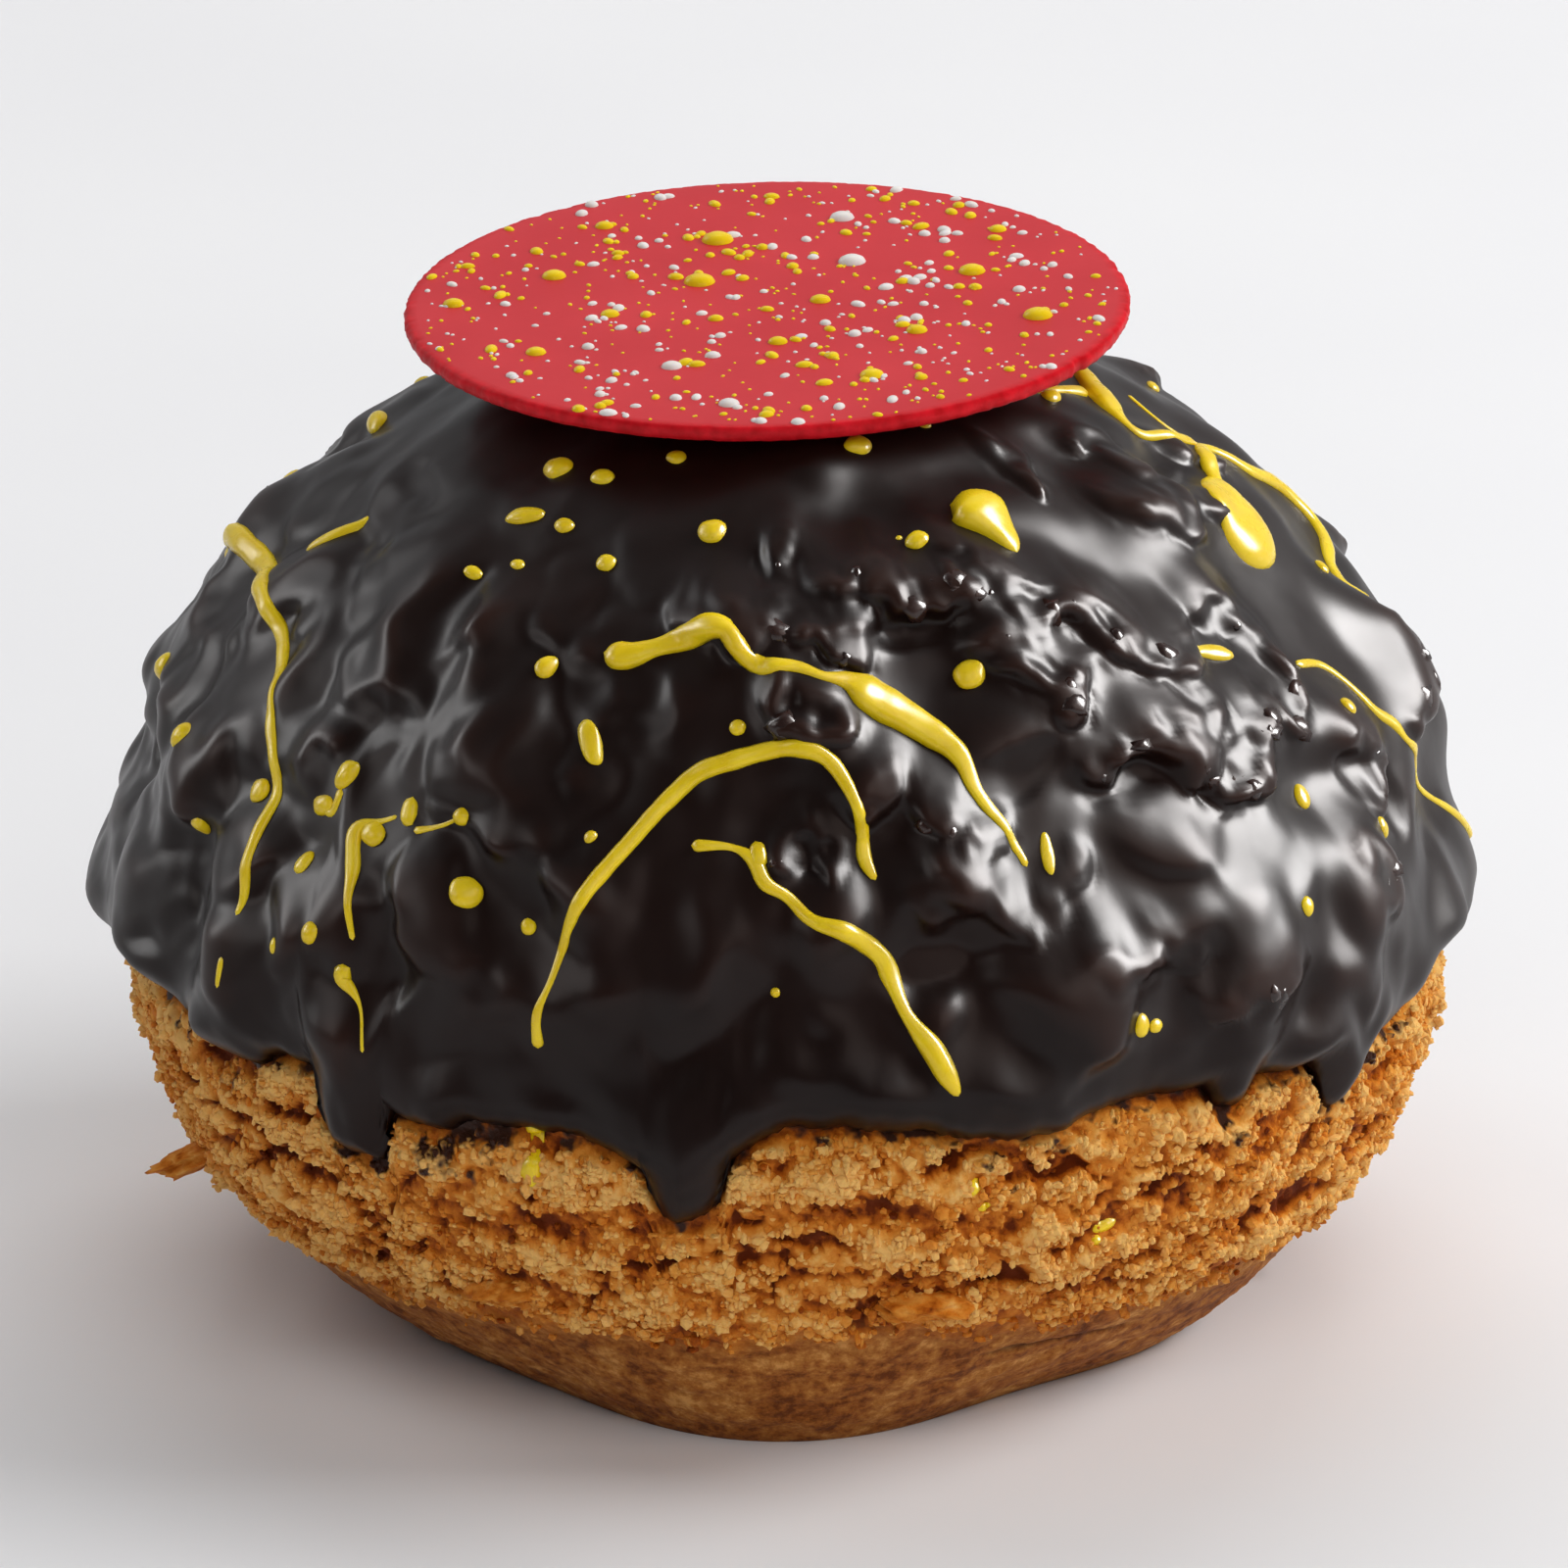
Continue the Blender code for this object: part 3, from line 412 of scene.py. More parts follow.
def scattered_cells(points, size, seed):
    """Distances to the nearest and second nearest of centres scattered this far apart, in
    units of that size, and a number from 0 to 1 that is the nearest centre's own."""
    places = points / size
    base = np.floor(places).astype(np.int64)
    nearest = np.full(points.shape[:-1], 9.0)
    second = np.full(points.shape[:-1], 9.0)
    own = np.zeros(points.shape[:-1])
    for step in itertools.product((-1, 0, 1), repeat=3):
        cell = base + step
        number = mixed(cell, seed)
        apart = np.linalg.norm(places - cell - fractions(number), axis=-1)
        closer = apart < nearest
        second = np.where(closer, nearest, np.minimum(second, apart))
        own = np.where(closer, (number >> np.uint64(48)) / 65536.0, own)
        nearest = np.minimum(nearest, apart)
    return nearest, second, own


def unit(rows):
    """Each row at length 1."""
    return rows / np.linalg.norm(rows, axis=1)[:, None]


def eased(low, high, value):
    """0 below low, 1 above high, and smooth between."""
    share = np.clip((value - low) / (high - low), 0, 1)
    return share * share * (3 - 2 * share)


def domed(apart, reach):
    """1 in the middle, falling to 0 at this reach."""
    return np.clip(1 - (apart / reach) ** 2, 0, 1)


def lumps(points, size, seed, reach, power, least):
    """Heights from 0 to 1 of rounded lumps, and how far each point is from the border
    between two of them."""
    apart, second, own = scattered_cells(points, size, seed)
    return domed(apart, reach) ** power * (least + (1 - least) * own), second - apart


def bell(apart, spread):
    """1 in the middle, fading out smoothly over this spread."""
    return np.exp(-((apart / spread) ** 2))


def turned_from(azimuth, place):
    """How many degrees an azimuth is from a place, from -180 to 180."""
    return (azimuth - place + 180) % 360 - 180


def lobed(azimuth, value, lobes):
    """A value that is larger by some extra near each lobe's place."""
    for place, spread, extra in lobes:
        value = value + extra * bell(turned_from(azimuth, place), spread)
    return value


def full_turn(count):
    """This many angles in radians, evenly all round."""
    return np.arange(count) / count * 2 * math.pi


# The puff's shape, as in the solids


def directions(azimuth, polar):
    """Unit vectors for azimuths and polar angles in degrees."""
    a, p = np.radians(azimuth), np.radians(polar)
    a, p = np.broadcast_arrays(a, p)
    return np.stack((np.sin(p) * np.sin(a), -np.sin(p) * np.cos(a), np.cos(p)), axis=-1)


def bun_depth(azimuth):
    """How far the bun's lower half-ellipsoid would reach, uncut."""
    return lobed(azimuth, BUN_DEPTH, FOOT_LOBES)


def bun_distance(ways):
    """How far the smooth bun reaches from CENTRE along unit vectors."""
    upper = ways[..., 2] >= 0
    azimuth = np.degrees(np.arctan2(ways[..., 0], -ways[..., 1]))
    height = np.where(upper, BUN_TOP - CENTRE_HEIGHT, bun_depth(azimuth))
    level = np.hypot(ways[..., 0], ways[..., 1])
    reach = 1 / np.hypot(level / BUN_RADIUS, ways[..., 2] / height)
    down = np.maximum(-ways[..., 2], 1e-6)
    return np.minimum(reach, CENTRE_HEIGHT / down)


def on_bun(ways):
    """Points on the smooth bun along unit vectors."""
    return CENTRE + ways * bun_distance(ways)[..., None]


def bump_frame(azimuth, polar, turn):
    """A place on the smooth bun, and three axes there: along the bump, across it, outwards."""
    out = directions(azimuth, polar)
    level = directions(azimuth + 90, 90)
    slope = np.cross(level, out)
    turned = math.radians(turn)
    along = math.cos(turned) * level + math.sin(turned) * slope
    return on_bun(out), along, np.cross(out, along), out


def bump_height(points, bump):
    """A smooth mound's height over points on the smooth bun."""
    azimuth, polar, length, width, height, turn = bump
    place, along, across, out = bump_frame(azimuth, polar, turn)
    offset = (points - place) * 1000
    square = (
        (offset @ along / length) ** 2
        + (offset @ across / width) ** 2
        + (offset @ out / length) ** 2
    )
    return height / 1000 * np.clip(1 - square, 0, 1) ** 1.5


def highest(points, bumps):
    """Height of the highest of these bumps over each point."""
    found = np.zeros(len(points))
    for bump in bumps:
        found = np.maximum(found, bump_height(points, bump))
    return found


def scattered(count, seed, polar_range, length, width, height, turn):
    """Bumps laid evenly at random over a band; each size is drawn from its own range."""
    draw = random.Random(seed)
    low, high = (math.cos(math.radians(p)) for p in polar_range)
    return [
        (
            draw.uniform(-180, 180),
            math.degrees(math.acos(draw.uniform(low, high))),
            draw.uniform(*length),
            draw.uniform(*width),
            draw.uniform(*height),
            draw.uniform(*turn),
        )
        for _ in range(count)
    ]


LOOSE = scattered(LOOSE_CLODS, 11, (22, 92), (3.4, 6.0), (2.6, 4.0), (0.5, 1.5), (-30, 90))


def hem_height(azimuth):
    """Height of the coat's lower edge: wavy all round, with tongues running down."""
    a = np.radians(azimuth)
    height = HEM_HEIGHT
    for count, shift in HEM_WAVES:
        height = height + HEM_WAVE * np.sin(count * a + shift)
    for place, half_width, length, blunt in DRIPS:
        apart = turned_from(azimuth, place)
        share = np.clip(1 - np.abs(apart / half_width) ** blunt, 0, 1)
        height = height - length * eased(-0.15, 1.1, share) * (share > 0)
    ring = directions(azimuth, 90) * BUN_RADIUS
    return height + 0.00035 * fractal(ring, 0.0030, 61)


def hem_polar(azimuth):
    """Polar angle of the coat's lower edge."""
    drop = CENTRE_HEIGHT - hem_height(azimuth)
    return 90 + np.degrees(np.arcsin(drop / BUN_RADIUS))


def dome_polar(azimuth, share):
    """Polar angle of the ring this share of the way from the top down to the hem."""
    level = np.degrees(np.arccos((HEM_HEIGHT - CENTRE_HEIGHT) / BUN_RADIUS))
    return share * level + (hem_polar(azimuth) - level) * share**5


# Meshes


def stitched(rings):
    """Faces between rings of vertex numbers. A ring may have half or twice the points of
    the one before it."""
    faces = []
    for upper, lower in zip(rings, rings[1:]):
        if len(upper) == len(lower):
            corners = (upper, lower, np.roll(lower, -1), np.roll(upper, -1))
            faces.extend(np.stack(corners, axis=1).tolist())
            continue
        flip = len(upper) > len(lower)
        coarse, fine = (lower, upper) if flip else (upper, lower)
        ahead = np.roll(coarse, -1)
        left, middle, right = fine[::2], fine[1::2], np.roll(fine[::2], -1)
        for corners in ((coarse, left, middle), (coarse, middle, ahead), (ahead, middle, right)):
            order = corners[::-1] if flip else corners
            faces.extend(np.stack(order, axis=1).tolist())
    return faces


def capped(tip, ring, upwards):
    """Faces that close a ring with one vertex."""
    pair = (ring, np.roll(ring, -1)) if upwards else (np.roll(ring, -1), ring)
    return np.stack((np.full(len(ring), tip), *pair), axis=1).tolist()


def linked(name, data):
    """A new object in the scene."""
    thing = bpy.data.objects.new(name, data)
    bpy.context.scene.collection.objects.link(thing)
    return thing


def new_piece(name, points, faces, material, slot):
    """A smooth mesh object that rides on the puff."""
    data = bpy.data.meshes.new(name)
    data.from_pydata(np.asarray(points).tolist(), [], faces)
    data.validate()
    data.shade_smooth()
    piece = linked(name, data)
    data.materials.append(material)
    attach(piece, "root")
    return piece


def give(piece, name, values):
    """Stores one number for each vertex, for the material to read."""
    layer = piece.data.attributes.new(name, "FLOAT", "POINT")
    layer.data.foreach_set("value", np.asarray(values, np.float32))


def lofted_points(rings, start, end):
    """Vertex list and faces of a closed form through a point, rings and a last point."""
    points = np.concatenate([*rings, [start], [end]])
    count = sum(len(ring) for ring in rings)
    ends = np.cumsum([0] + [len(ring) for ring in rings])
    numbers = [np.arange(a, b) for a, b in zip(ends, ends[1:])]
    faces = stitched(numbers)
    faces += capped(count, numbers[0], True) + capped(count + 1, numbers[-1], False)
    return points, faces


# The chocolate coat


def lump_height(points, bump, seed):
    """A lump of crust with an uneven outline and steep sides, over points on the bun."""
    azimuth, polar, length, width, height, turn = bump
    place, along, across, _ = bump_frame(azimuth, polar, turn)
    offset = (points - place) * 1000
    near = np.sum(offset * offset, axis=-1) < (1.4 * max(length, width)) ** 2
    local = offset[near]
    sway = 0.25 * width
    u = (local @ along + sway * noise(local / width, seed)) / length
    v = (local @ across + sway * noise(local / width, seed + 1)) / width
    found = np.zeros(len(points))
    found[near] = height * MM * np.clip(1 - u * u - v * v, 0, 1) ** 0.6
    return found


def line_distance(points, line):
    """Distance of each point from a line through azimuths and polar angles."""
    knots = [on_bun(directions(azimuth, polar)) for azimuth, polar in line]
    found = np.full(len(points), 1.0)
    for start, end in zip(knots, knots[1:]):
        way = end - start
        share = np.clip((points - start) @ way / (way @ way), 0, 1)
        gap = np.linalg.norm(points - start - share[:, None] * way, axis=1)
        found = np.minimum(found, gap)
    return found


def crumb_height(points):
    """Height of the broken crust that the chocolate runs over."""
    main = np.zeros(len(points))
    for i, clod in enumerate(MAIN_CLODS):
        main = np.maximum(main, lump_height(points, clod, 100 + i))
    chunk, _ = lumps(warped(points, 0.0040, 0.0010, 131), *CHUNKS)
    knob, _ = lumps(points, *KNOBS)
    lumpy = 1 - 0.45 * eased(0.042, 0.050, points[:, 2])
    small = lumpy * MM * (1.7 * chunk + 0.7 * knob)
    return soft_max(main, 0.6 * highest(points, LOOSE) + small, 0.4 * MM)


def pillow_height(points):
    """Height of the soft pillows and ridges that the coat lies in on the left and low down."""
    bent = warped(points, 0.0060, 0.0016, 137)
    ridges = (1 - np.abs(noise(bent / 0.0058, 138))) ** 2
    pillows, _ = lumps(bent, *PILLOWS)
    return MM * (0.6 * ridges + 1.7 * pillows)


def ledge_height(points):
    """Height of the broken edges of crust, how much their knobs take off it there, and how
    near the edges are, from 0 to 1."""
    bent = warped(points, 0.0018, 0.0006, 141)
    knobs, _ = lumps(bent, *LEDGE_KNOBS)
    found = np.zeros(len(points))
    nearest = np.full(len(points), 1.0)
    for height, line in EDGES:
        gap = line_distance(bent, line)
        found = np.maximum(found, height * MM * domed(gap, 0.0011) ** 0.5)
        nearest = np.minimum(nearest, gap)
    near = domed(nearest, 0.0017)
    return found, (1 - knobs) * near, near


def soft_max(low, high, blend):
    """The larger of two heights, rounded off where they meet."""
    apart = np.clip(np.abs(low - high) / blend, 0, 1)
    return np.maximum(low, high) + blend * 0.25 * (1 - apart) ** 2


def poured(crumb, down, slope, side_slope):
    """Chocolate that runs down over the crumb, row by row, and pools above each edge. It
    falls away from the edge by these slopes, upwards and sideways."""
    found = crumb.copy()
    for row in range(len(found) - 2, -1, -1):
        fall = down[row + 1] - down[row]
        below = found[row + 1]
        beside = np.maximum(np.roll(below, 1), np.roll(below, -1))
        pooled = np.maximum(below - slope * fall, beside - side_slope * fall)
        found[row] = np.maximum(found[row], pooled)
    return found


def softened(grid, reach, down, radii):
    """A grid of heights on the dome, smoothed over this reach."""
    apart = (down[:, None] - down[None, :]) / reach
    weights = np.exp(-0.5 * apart**2)
    weights /= weights.sum(axis=1, keepdims=True)
    waves = np.arange(grid.shape[1] // 2 + 1)
    damped = np.exp(-0.5 * (waves * reach / radii[:, None]) ** 2)
    around = np.fft.irfft(np.fft.rfft(grid, axis=1) * damped, n=grid.shape[1], axis=1)
    return weights @ around


def calm_parts(azimuth, polar, share):
    """How far a place lies under the oval or on the shoulder beside it, and how calm the
    chocolate is there, both from 0 to 1. It is calm under the oval, low in front and
    along the hem."""
    apart = np.abs(turned_from(azimuth, 0))
    under = 1 - eased(24, 34, polar)
    shoulder = 1 - eased(42, 62, np.abs(turned_from(azimuth, -52)))
    under = np.maximum(under, shoulder * (1 - eased(34, 50, polar)))
    calm = OVAL_CALM * under + FRONT_CALM * eased(64, 74, polar) * (1 - eased(18, 34, apart))
    return under, np.clip(calm + HEM_CALM * eased(0.90, 0.97, share), 0, 1)


def terrace_height(flat, down, left, soften):
    """Height of the chocolate that pools on the broken edges of crust. It is crisp near
    an edge and mellow away from it, and mellow all over the left."""
    shape = left.shape
    ledges, notches, near = (part.reshape(shape) for part in ledge_height(flat))
    terraces = poured(ledges, down, *LEDGE_SLOPES) * (1 - 0.65 * notches)
    mellow = soften(terraces, 0.00080)
    crisp = mellow + (soften(terraces, 0.00026) - mellow) * near**0.5
    return crisp + left * (0.6 * mellow - crisp)


def fold_height(flat, azimuth, polar, left, calm, soften):
    """Height of the folds on the left, and of the mounds low down elsewhere, which leave
    the stroke of drizzle on the right side free."""
    pillow = pillow_height(flat).reshape(polar.shape)
    folds = soften(pillow, 0.00040) * left * (1 - calm)
    mounds = 1.3 * soften(pillow, 0.00070) - 1.2 * MM
    beside = eased(14, 30, np.abs(turned_from(azimuth, 86)))
    return folds + mounds * eased(60, 70, polar) * beside * (1 - left)


def settled_height(points, down, under, calm, soften):
    """Chocolate that fills the hollows between crumbs smoothly, so that only the crumbs
    that stand above it show, with the pits and the broad swells."""
    flat = points.reshape(-1, 3)
    crumb = crumb_height(flat).reshape(under.shape)
    fine = soften(poured(crumb, down, *CRUMB_SLOPES), 0.00100)
    soft = soften(crumb, 0.0015)
    broad = soften(crumb, 0.0050)
    pool = broad + 1.5 * (soft - broad) * (1 - 0.5 * under) + (1.1 * calm - 0.20) * MM
    total = soft_max(fine, pool, 0.8 * MM)
    total = total - soften(total, 0.0070) + 0.6 * (broad - broad.mean()) + 0.9 * MM
    for i, pit in enumerate(PITS):
        total = total - 0.8 * lump_height(flat, pit, 300 + i).reshape(under.shape)
    swells = scattered(SWELLS, 5, (15, 90), (14, 20), (12, 16), (0.3, 0.7), (0, 90))
    total = total + sum(bump_height(points, swell) for swell in swells)
    return soften(total, 0.00030) - 0.2 * MM


def coat_height(points, azimuth, polar, share):
    """How far the coat stands out from its even thickness, and how thin it is on its
    edges, over a grid of points on the bun."""
    flat = points.reshape(-1, 3)
    down = share[:, 0] * BUN_RADIUS * math.pi / 2
    radii = np.hypot(points[..., 0], points[..., 1]).mean(axis=1)
    soften = functools.partial(softened, down=down, radii=radii)
    left = 1 - eased(38, 58, np.abs(turned_from(azimuth, -64)))
    under, calm = calm_parts(azimuth, polar, share)
    total = settled_height(points, down, under, calm, soften)
    folds = fold_height(flat, azimuth, polar, left, calm, soften)
    total = total * (1 - 0.5 * left) + folds - 0.3 * MM * left * (1 - calm)
    low = 0.3 + 0.7 * eased(58, 72, polar)
    total = total + 1.5 * MM * low * noise(points / 0.0080, 153)
    total = total + 1.6 * terrace_height(flat, down, left, soften) * (1 - 0.5 * calm)
    edge = (total - soften(total, 0.0013)) * (1 - 0.8 * calm)
    over = np.maximum(total - COAT_SOFT_LIMIT, 0)
    total = np.clip(total, COAT_LOWEST, COAT_SOFT_LIMIT) + MM * (1 - np.exp(-over / MM))
    return total, edge


def distance_to_hem(points, ring):
    """Distance of each point from the coat's lower edge, up to a few millimetres."""
    found = np.full(len(points), 1.0)
    for start in range(0, len(points), 4096):
        some = points[start : start + 4096]
        gaps = some[:, None, :] - ring[None, :, :]
        found[start : start + 4096] = np.sqrt((gaps * gaps).sum(axis=-1)).min(axis=1)
    return found


def coat_columns(count):
    """Azimuths all round, closer together in front."""
    turns = full_turn(count)
    return np.degrees(turns - FRONT_SHARE * np.sin(turns))


def coat_grid():
    """The coat's outside as a grid of points, and a grid of how thin its edges are."""
    even = (np.arange(COAT_ROWS) + 1) / COAT_ROWS
    share = 0.86 * even + 0.14 * (1 - (1 - even) ** 3)
    azimuth, share = np.meshgrid(coat_columns(COAT_COLUMNS), share)
    polar = dome_polar(azimuth, share)
    ways = directions(azimuth, polar)
    smooth = on_bun(ways)
    height, edge = coat_height(smooth, azimuth, polar, share)
    fine = np.arange(0, 360, 0.3)
    hem_line = on_bun(directions(fine, hem_polar(fine)))
    from_hem = np.full(polar.shape, 1.0)
    low = share > 0.8
    from_hem[low] = distance_to_hem(smooth[low], hem_line)
    near = np.clip(from_hem / HEM_LIP, 0, 1)
    rounded = np.sqrt(1 - (1 - near) ** 2)
    gathered = HEM_SWELL * np.exp(-((from_hem / HEM_LIP - 1) ** 2)) * 2
    gathered = gathered * np.clip(0.7 + noise(smooth / 0.0050, 151), 0, 1.5)
    height = height * (0.35 + 0.65 * eased(0.5 * MM, 6 * MM, from_hem))
    depth = (COAT_THICKNESS + CLEARANCE + gathered + height) * rounded
    # Lumps sag a little down the slope, which steepens their undersides
    downhill = directions(azimuth, polar + 90)
    sag = 0.55 * np.clip(height - 0.5 * MM, 0, 2 * MM) * eased(0.5 * MM, 3 * MM, from_hem)
    return smooth + ways * depth[..., None] + downhill * sag[..., None], edge


def make_coat(material):
    """The chocolate coat: a lumpy dome with a rounded hem, closed underneath. It returns
    the piece, and the grids that coat_grid made."""
    outside, edge = coat_grid()
    loops, thin = [], []
    for row, (ring, its_edge) in enumerate(zip(outside, edge)):
        step = 4 if row < TOP_ROWS * COAT_ROWS else 2 if row < UPPER_ROWS * COAT_ROWS else 1
        loops.append(ring[::step])
        thin.append(its_edge[::step])
    top = outside[0].mean(axis=0)
    columns = coat_columns(COAT_COLUMNS)
    for share in COAT_INNER_RINGS:
        loops.append(on_bun(directions(columns, dome_polar(columns, share))))
        columns = columns[::2]
    points, faces = lofted_points(loops, top, (0, 0, BUN_TOP))
    piece = new_piece("coat_chocolate", points, faces, material, slot="dark_chocolate")
    thin = np.concatenate(thin) / MM
    give(piece, "thin", np.pad(thin, (0, len(points) - len(thin))))
    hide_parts("coat")
    return piece, (outside, edge)


def edge_nubs(draw):
    """Crumbs along the higher edges: the way to each one, and its radius in millimetres."""
    places = []
    for height, line in EDGES:
        if height < NUB_EDGE:
            continue
        for start, end in zip(line, line[1:]):
            span = np.linalg.norm(on_bun(directions(*start)) - on_bun(directions(*end)))
            steps = max(1, int(span / NUB_SPACING))
            for step in range(steps):
                if draw.random() < NUB_GAPS:
                    continue
                share = (step + draw.random()) / steps
                azimuth = start[0] + share * (end[0] - start[0]) + draw.gauss(0, 0.4)
                polar = start[1] + share * (end[1] - start[1]) + 1.3 + draw.gauss(0, 0.9)
                places.append((directions(azimuth, polar), draw.uniform(0.4, 0.9)))
    return places


def loose_nubs(draw, outside, edge):
    """Crumbs wherever the coat stands out sharply, in the same form."""
    rows = slice(int(0.38 * COAT_ROWS), int(0.93 * COAT_ROWS))
    spots = outside[rows].reshape(-1, 3)
    chance = eased(0.14 * MM, 0.34 * MM, edge[rows].ravel())
    picker = np.random.default_rng(22)
    picks = picker.choice(len(spots), LOOSE_NUBS, replace=False, p=chance / chance.sum())
    ways = [spot - CENTRE for spot in spots[picks]]
    return [(way / np.linalg.norm(way), draw.uniform(0.35, 0.80)) for way in ways]


def make_nubs(material, surface, grids):
    """Crumbs that show through the chocolate, coated and half sunk in it."""
    placer = random.Random(21)
    places = edge_nubs(placer) + loose_nubs(placer, *grids)
    shape, faces = ball(2)
    draw = np.random.default_rng(23)
    parts = []
    for i, (way, radius) in enumerate(places):
        place, normal = surface.along(way)
        rough = 1 + 0.50 * noise(shape * 1.9 + i * 7.0, 24)[:, None]
        size = radius * MM * draw.uniform(0.7, 1.4, 3)
        normal = np.array(normal)
        local = shape * rough * size
        local = local - 0.25 * (local @ normal)[:, None] * normal
        parts.append((np.array(place) - NUB_DEPTH * radius * MM * normal + local, faces.tolist()))
    return new_piece("coat_nubs", *joined(parts), material, slot="dark_chocolate")


# The crust


def blurred(grid, rows, columns):
    """A grid that closes round its columns, averaged over this many cells each way."""
    total = grid
    for _ in range(2):
        parts = [np.roll(total, step, axis=1) for step in range(-columns, columns + 1)]
        total = sum(parts) / len(parts)
        padded = np.pad(total, ((rows, rows), (0, 0)), mode="edge")
        parts = [padded[i : i + len(grid)] for i in range(2 * rows + 1)]
        total = sum(parts) / len(parts)
    return total


def crumbly_relief(points):
    """Relief of the crumbly crust in millimetres: clumps, lumps, grain, layers and gaps."""
    bent = warped(points, 0.0030, 0.0011, 81)
    clump, inside = lumps(bent * (1, 1, 1.5), *CRUST_CLUMPS)
    gaps = (1 - eased(0.02, 0.20, inside)) * eased(-0.15, 0.35, noise(points / 0.0045, 82))
    lump, _ = lumps(warped(points, 0.0012, 0.0004, 84), *CRUST_LUMPS)
    grain = 0.5 + fractal(points, 0.00085, 87, 2)
    shelf = fractal(bent * (0.35, 0.35, 1.9), 0.0042, 89, 2)
    cleft = eased(0.42, 0.62, noise(bent * (0.30, 0.30, 1.6) / 0.0030, 95))
    raised = 0.52 * clump + 0.42 * lump + 0.26 * grain + 0.28 * shelf
    return raised - 0.50 * gaps - 0.9 * cleft - 0.55


def choux_relief(points, band):
    """Relief in millimetres of the smooth choux below this height, with streaks and
    blisters, and how cracked it is."""
    level = points[:, 2] - band * 0.72 - 0.0006 * noise(points / 0.006, 91)
    crack = bell(level, CRACK_WIDTH) * eased(0.1, 0.5, noise(points / 0.009, 92))
    streak = fractal(points * (1, 1, 2.2), 0.0035, 93, 4)
    blisters = fractal(points, 0.0011, 97, 2)
    return 0.16 * streak + 0.08 * blisters - 0.35 * crack, crack


def crust_height(points, azimuth, below_hem):
    """The crust's height over the smooth bun, and how crumbly and how cracked it is."""
    loose = scattered(LOOSE_CRAGS, 23, (90, 114), (2.6, 5.0), (1.8, 2.8), (0.5, 1.7), (-20, 20))
    crags = highest(points, [*MAIN_CRAGS, *loose])
    band = CHOUX_HEIGHT + 0.0012 * fractal(points * (1, 1, 0.2), 0.014, 71)
    band = lobed(azimuth, band, CHOUX_RISE)
    above = points[:, 2] - band + 0.0008 * noise(points / 0.0016, 94)
    crumbly = eased(-1.3 * MM, 1.5 * MM, above)
    relief = eased(-1.5 * MM, 4.0 * MM, above)
    start = eased(-0.4 * MM, 1.6 * MM, below_hem)
    rough = relief * (CRUST_THICKNESS + 0.5 * crags + crumbly_relief(points) * MM)
    smooth, crack = choux_relief(points, band)
    return rough * start + (1 - crumbly) * MM * smooth, crumbly, crack * (1 - crumbly)


def crust_grid():
    """The crust's outside from under the hem to the foot. It returns the grid of points,
    the ways that they lie along, and grids of their painted shade and light (darker in
    hollows, lighter on crests), how crumbly and how cracked they are, how far below the
    hem they are, and the same shortened where chocolate stains."""
    azimuth = np.arange(CRUST_COLUMNS) / CRUST_COLUMNS * 360
    hem = hem_polar(azimuth) - 5.0
    base_radius = BUN_RADIUS * np.sqrt(1 - (CENTRE_HEIGHT / bun_depth(azimuth)) ** 2)
    foot = 90 + np.degrees(np.arctan2(CENTRE_HEIGHT, base_radius))
    polar = hem + (foot - hem) * np.linspace(0, 1, CRUST_ROWS)[:, None]
    around = np.broadcast_to(azimuth, polar.shape)
    ways = directions(around, polar)
    smooth = on_bun(ways)
    below = hem_height(azimuth) - smooth[..., 2]
    found = crust_height(smooth.reshape(-1, 3), around.ravel(), below.ravel())
    height, crumbly, crack = (grid.reshape(polar.shape) for grid in found)
    height = height * eased(0, 1.2 * MM, smooth[..., 2])
    outside = smooth + ways * height[..., None]
    outside[..., 2] = np.maximum(outside[..., 2], 0)
    # Painted light and shade: crust that stands above its neighbours is lighter, and hollows are
    # darker
    shade_and_tone = 0.5 + (height - blurred(height, 6, 5)) / (0.95 * MM)
    return outside, ways, shade_and_tone, crumbly, crack, below, below / lobed(azimuth, 1.0, STAINS)


def give_crust(piece, shade_and_tone, below, crumbly=1.0, crack=0.0):
    """Stores what the crust's material reads, each as one number or one for each vertex."""
    grids = {"shade_and_tone": shade_and_tone, "crumbly": crumbly, "crack": crack, "below": below}
    for name, values in grids.items():
        give(piece, name, np.broadcast_to(values, len(piece.data.vertices)))


def make_crust(material, grids):
    """The baked bun: crumbly below the hem, smooth and streaky near its flat base."""
    outside, _, shade_and_tone, crumbly, crack, _, stain = grids
    above = []
    for halvings, share in enumerate(CRUST_INNER_RINGS, 1):
        count = CRUST_COLUMNS // 2**halvings
        ring = np.arange(count) / count * 360
        above.insert(0, on_bun(directions(ring, dome_polar(ring, share))))
    floor_ring = outside[-1][::2] * (0.9, 0.9, 0)
    points, faces = lofted_points([*above, *outside, floor_ring], (0, 0, BUN_TOP), (0, 0, 0))
    piece = new_piece("bun_crust", points, faces, material, slot="crust")
    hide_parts("bun")
    lead = sum(len(ring) for ring in above)
    ends = (lead, len(points) - lead - shade_and_tone.size)
    values = (
        np.pad(grid.ravel(), ends, constant_values=rest)
        for grid, rest in ((shade_and_tone, 0.5), (stain / MM, UNSTAINED), (crumbly, 0), (crack, 0))
    )
    give_crust(piece, *values)
    return piece


# Small things made many times


def ball(subdivisions):
    """Vertices and faces of a unit icosphere."""
    mesh = bmesh.new()
    bmesh.ops.create_icosphere(mesh, subdivisions=subdivisions, radius=1)
    points = np.array([vertex.co for vertex in mesh.verts])
    faces = np.array([[vertex.index for vertex in face.verts] for face in mesh.faces])
    mesh.free()
    return points, faces


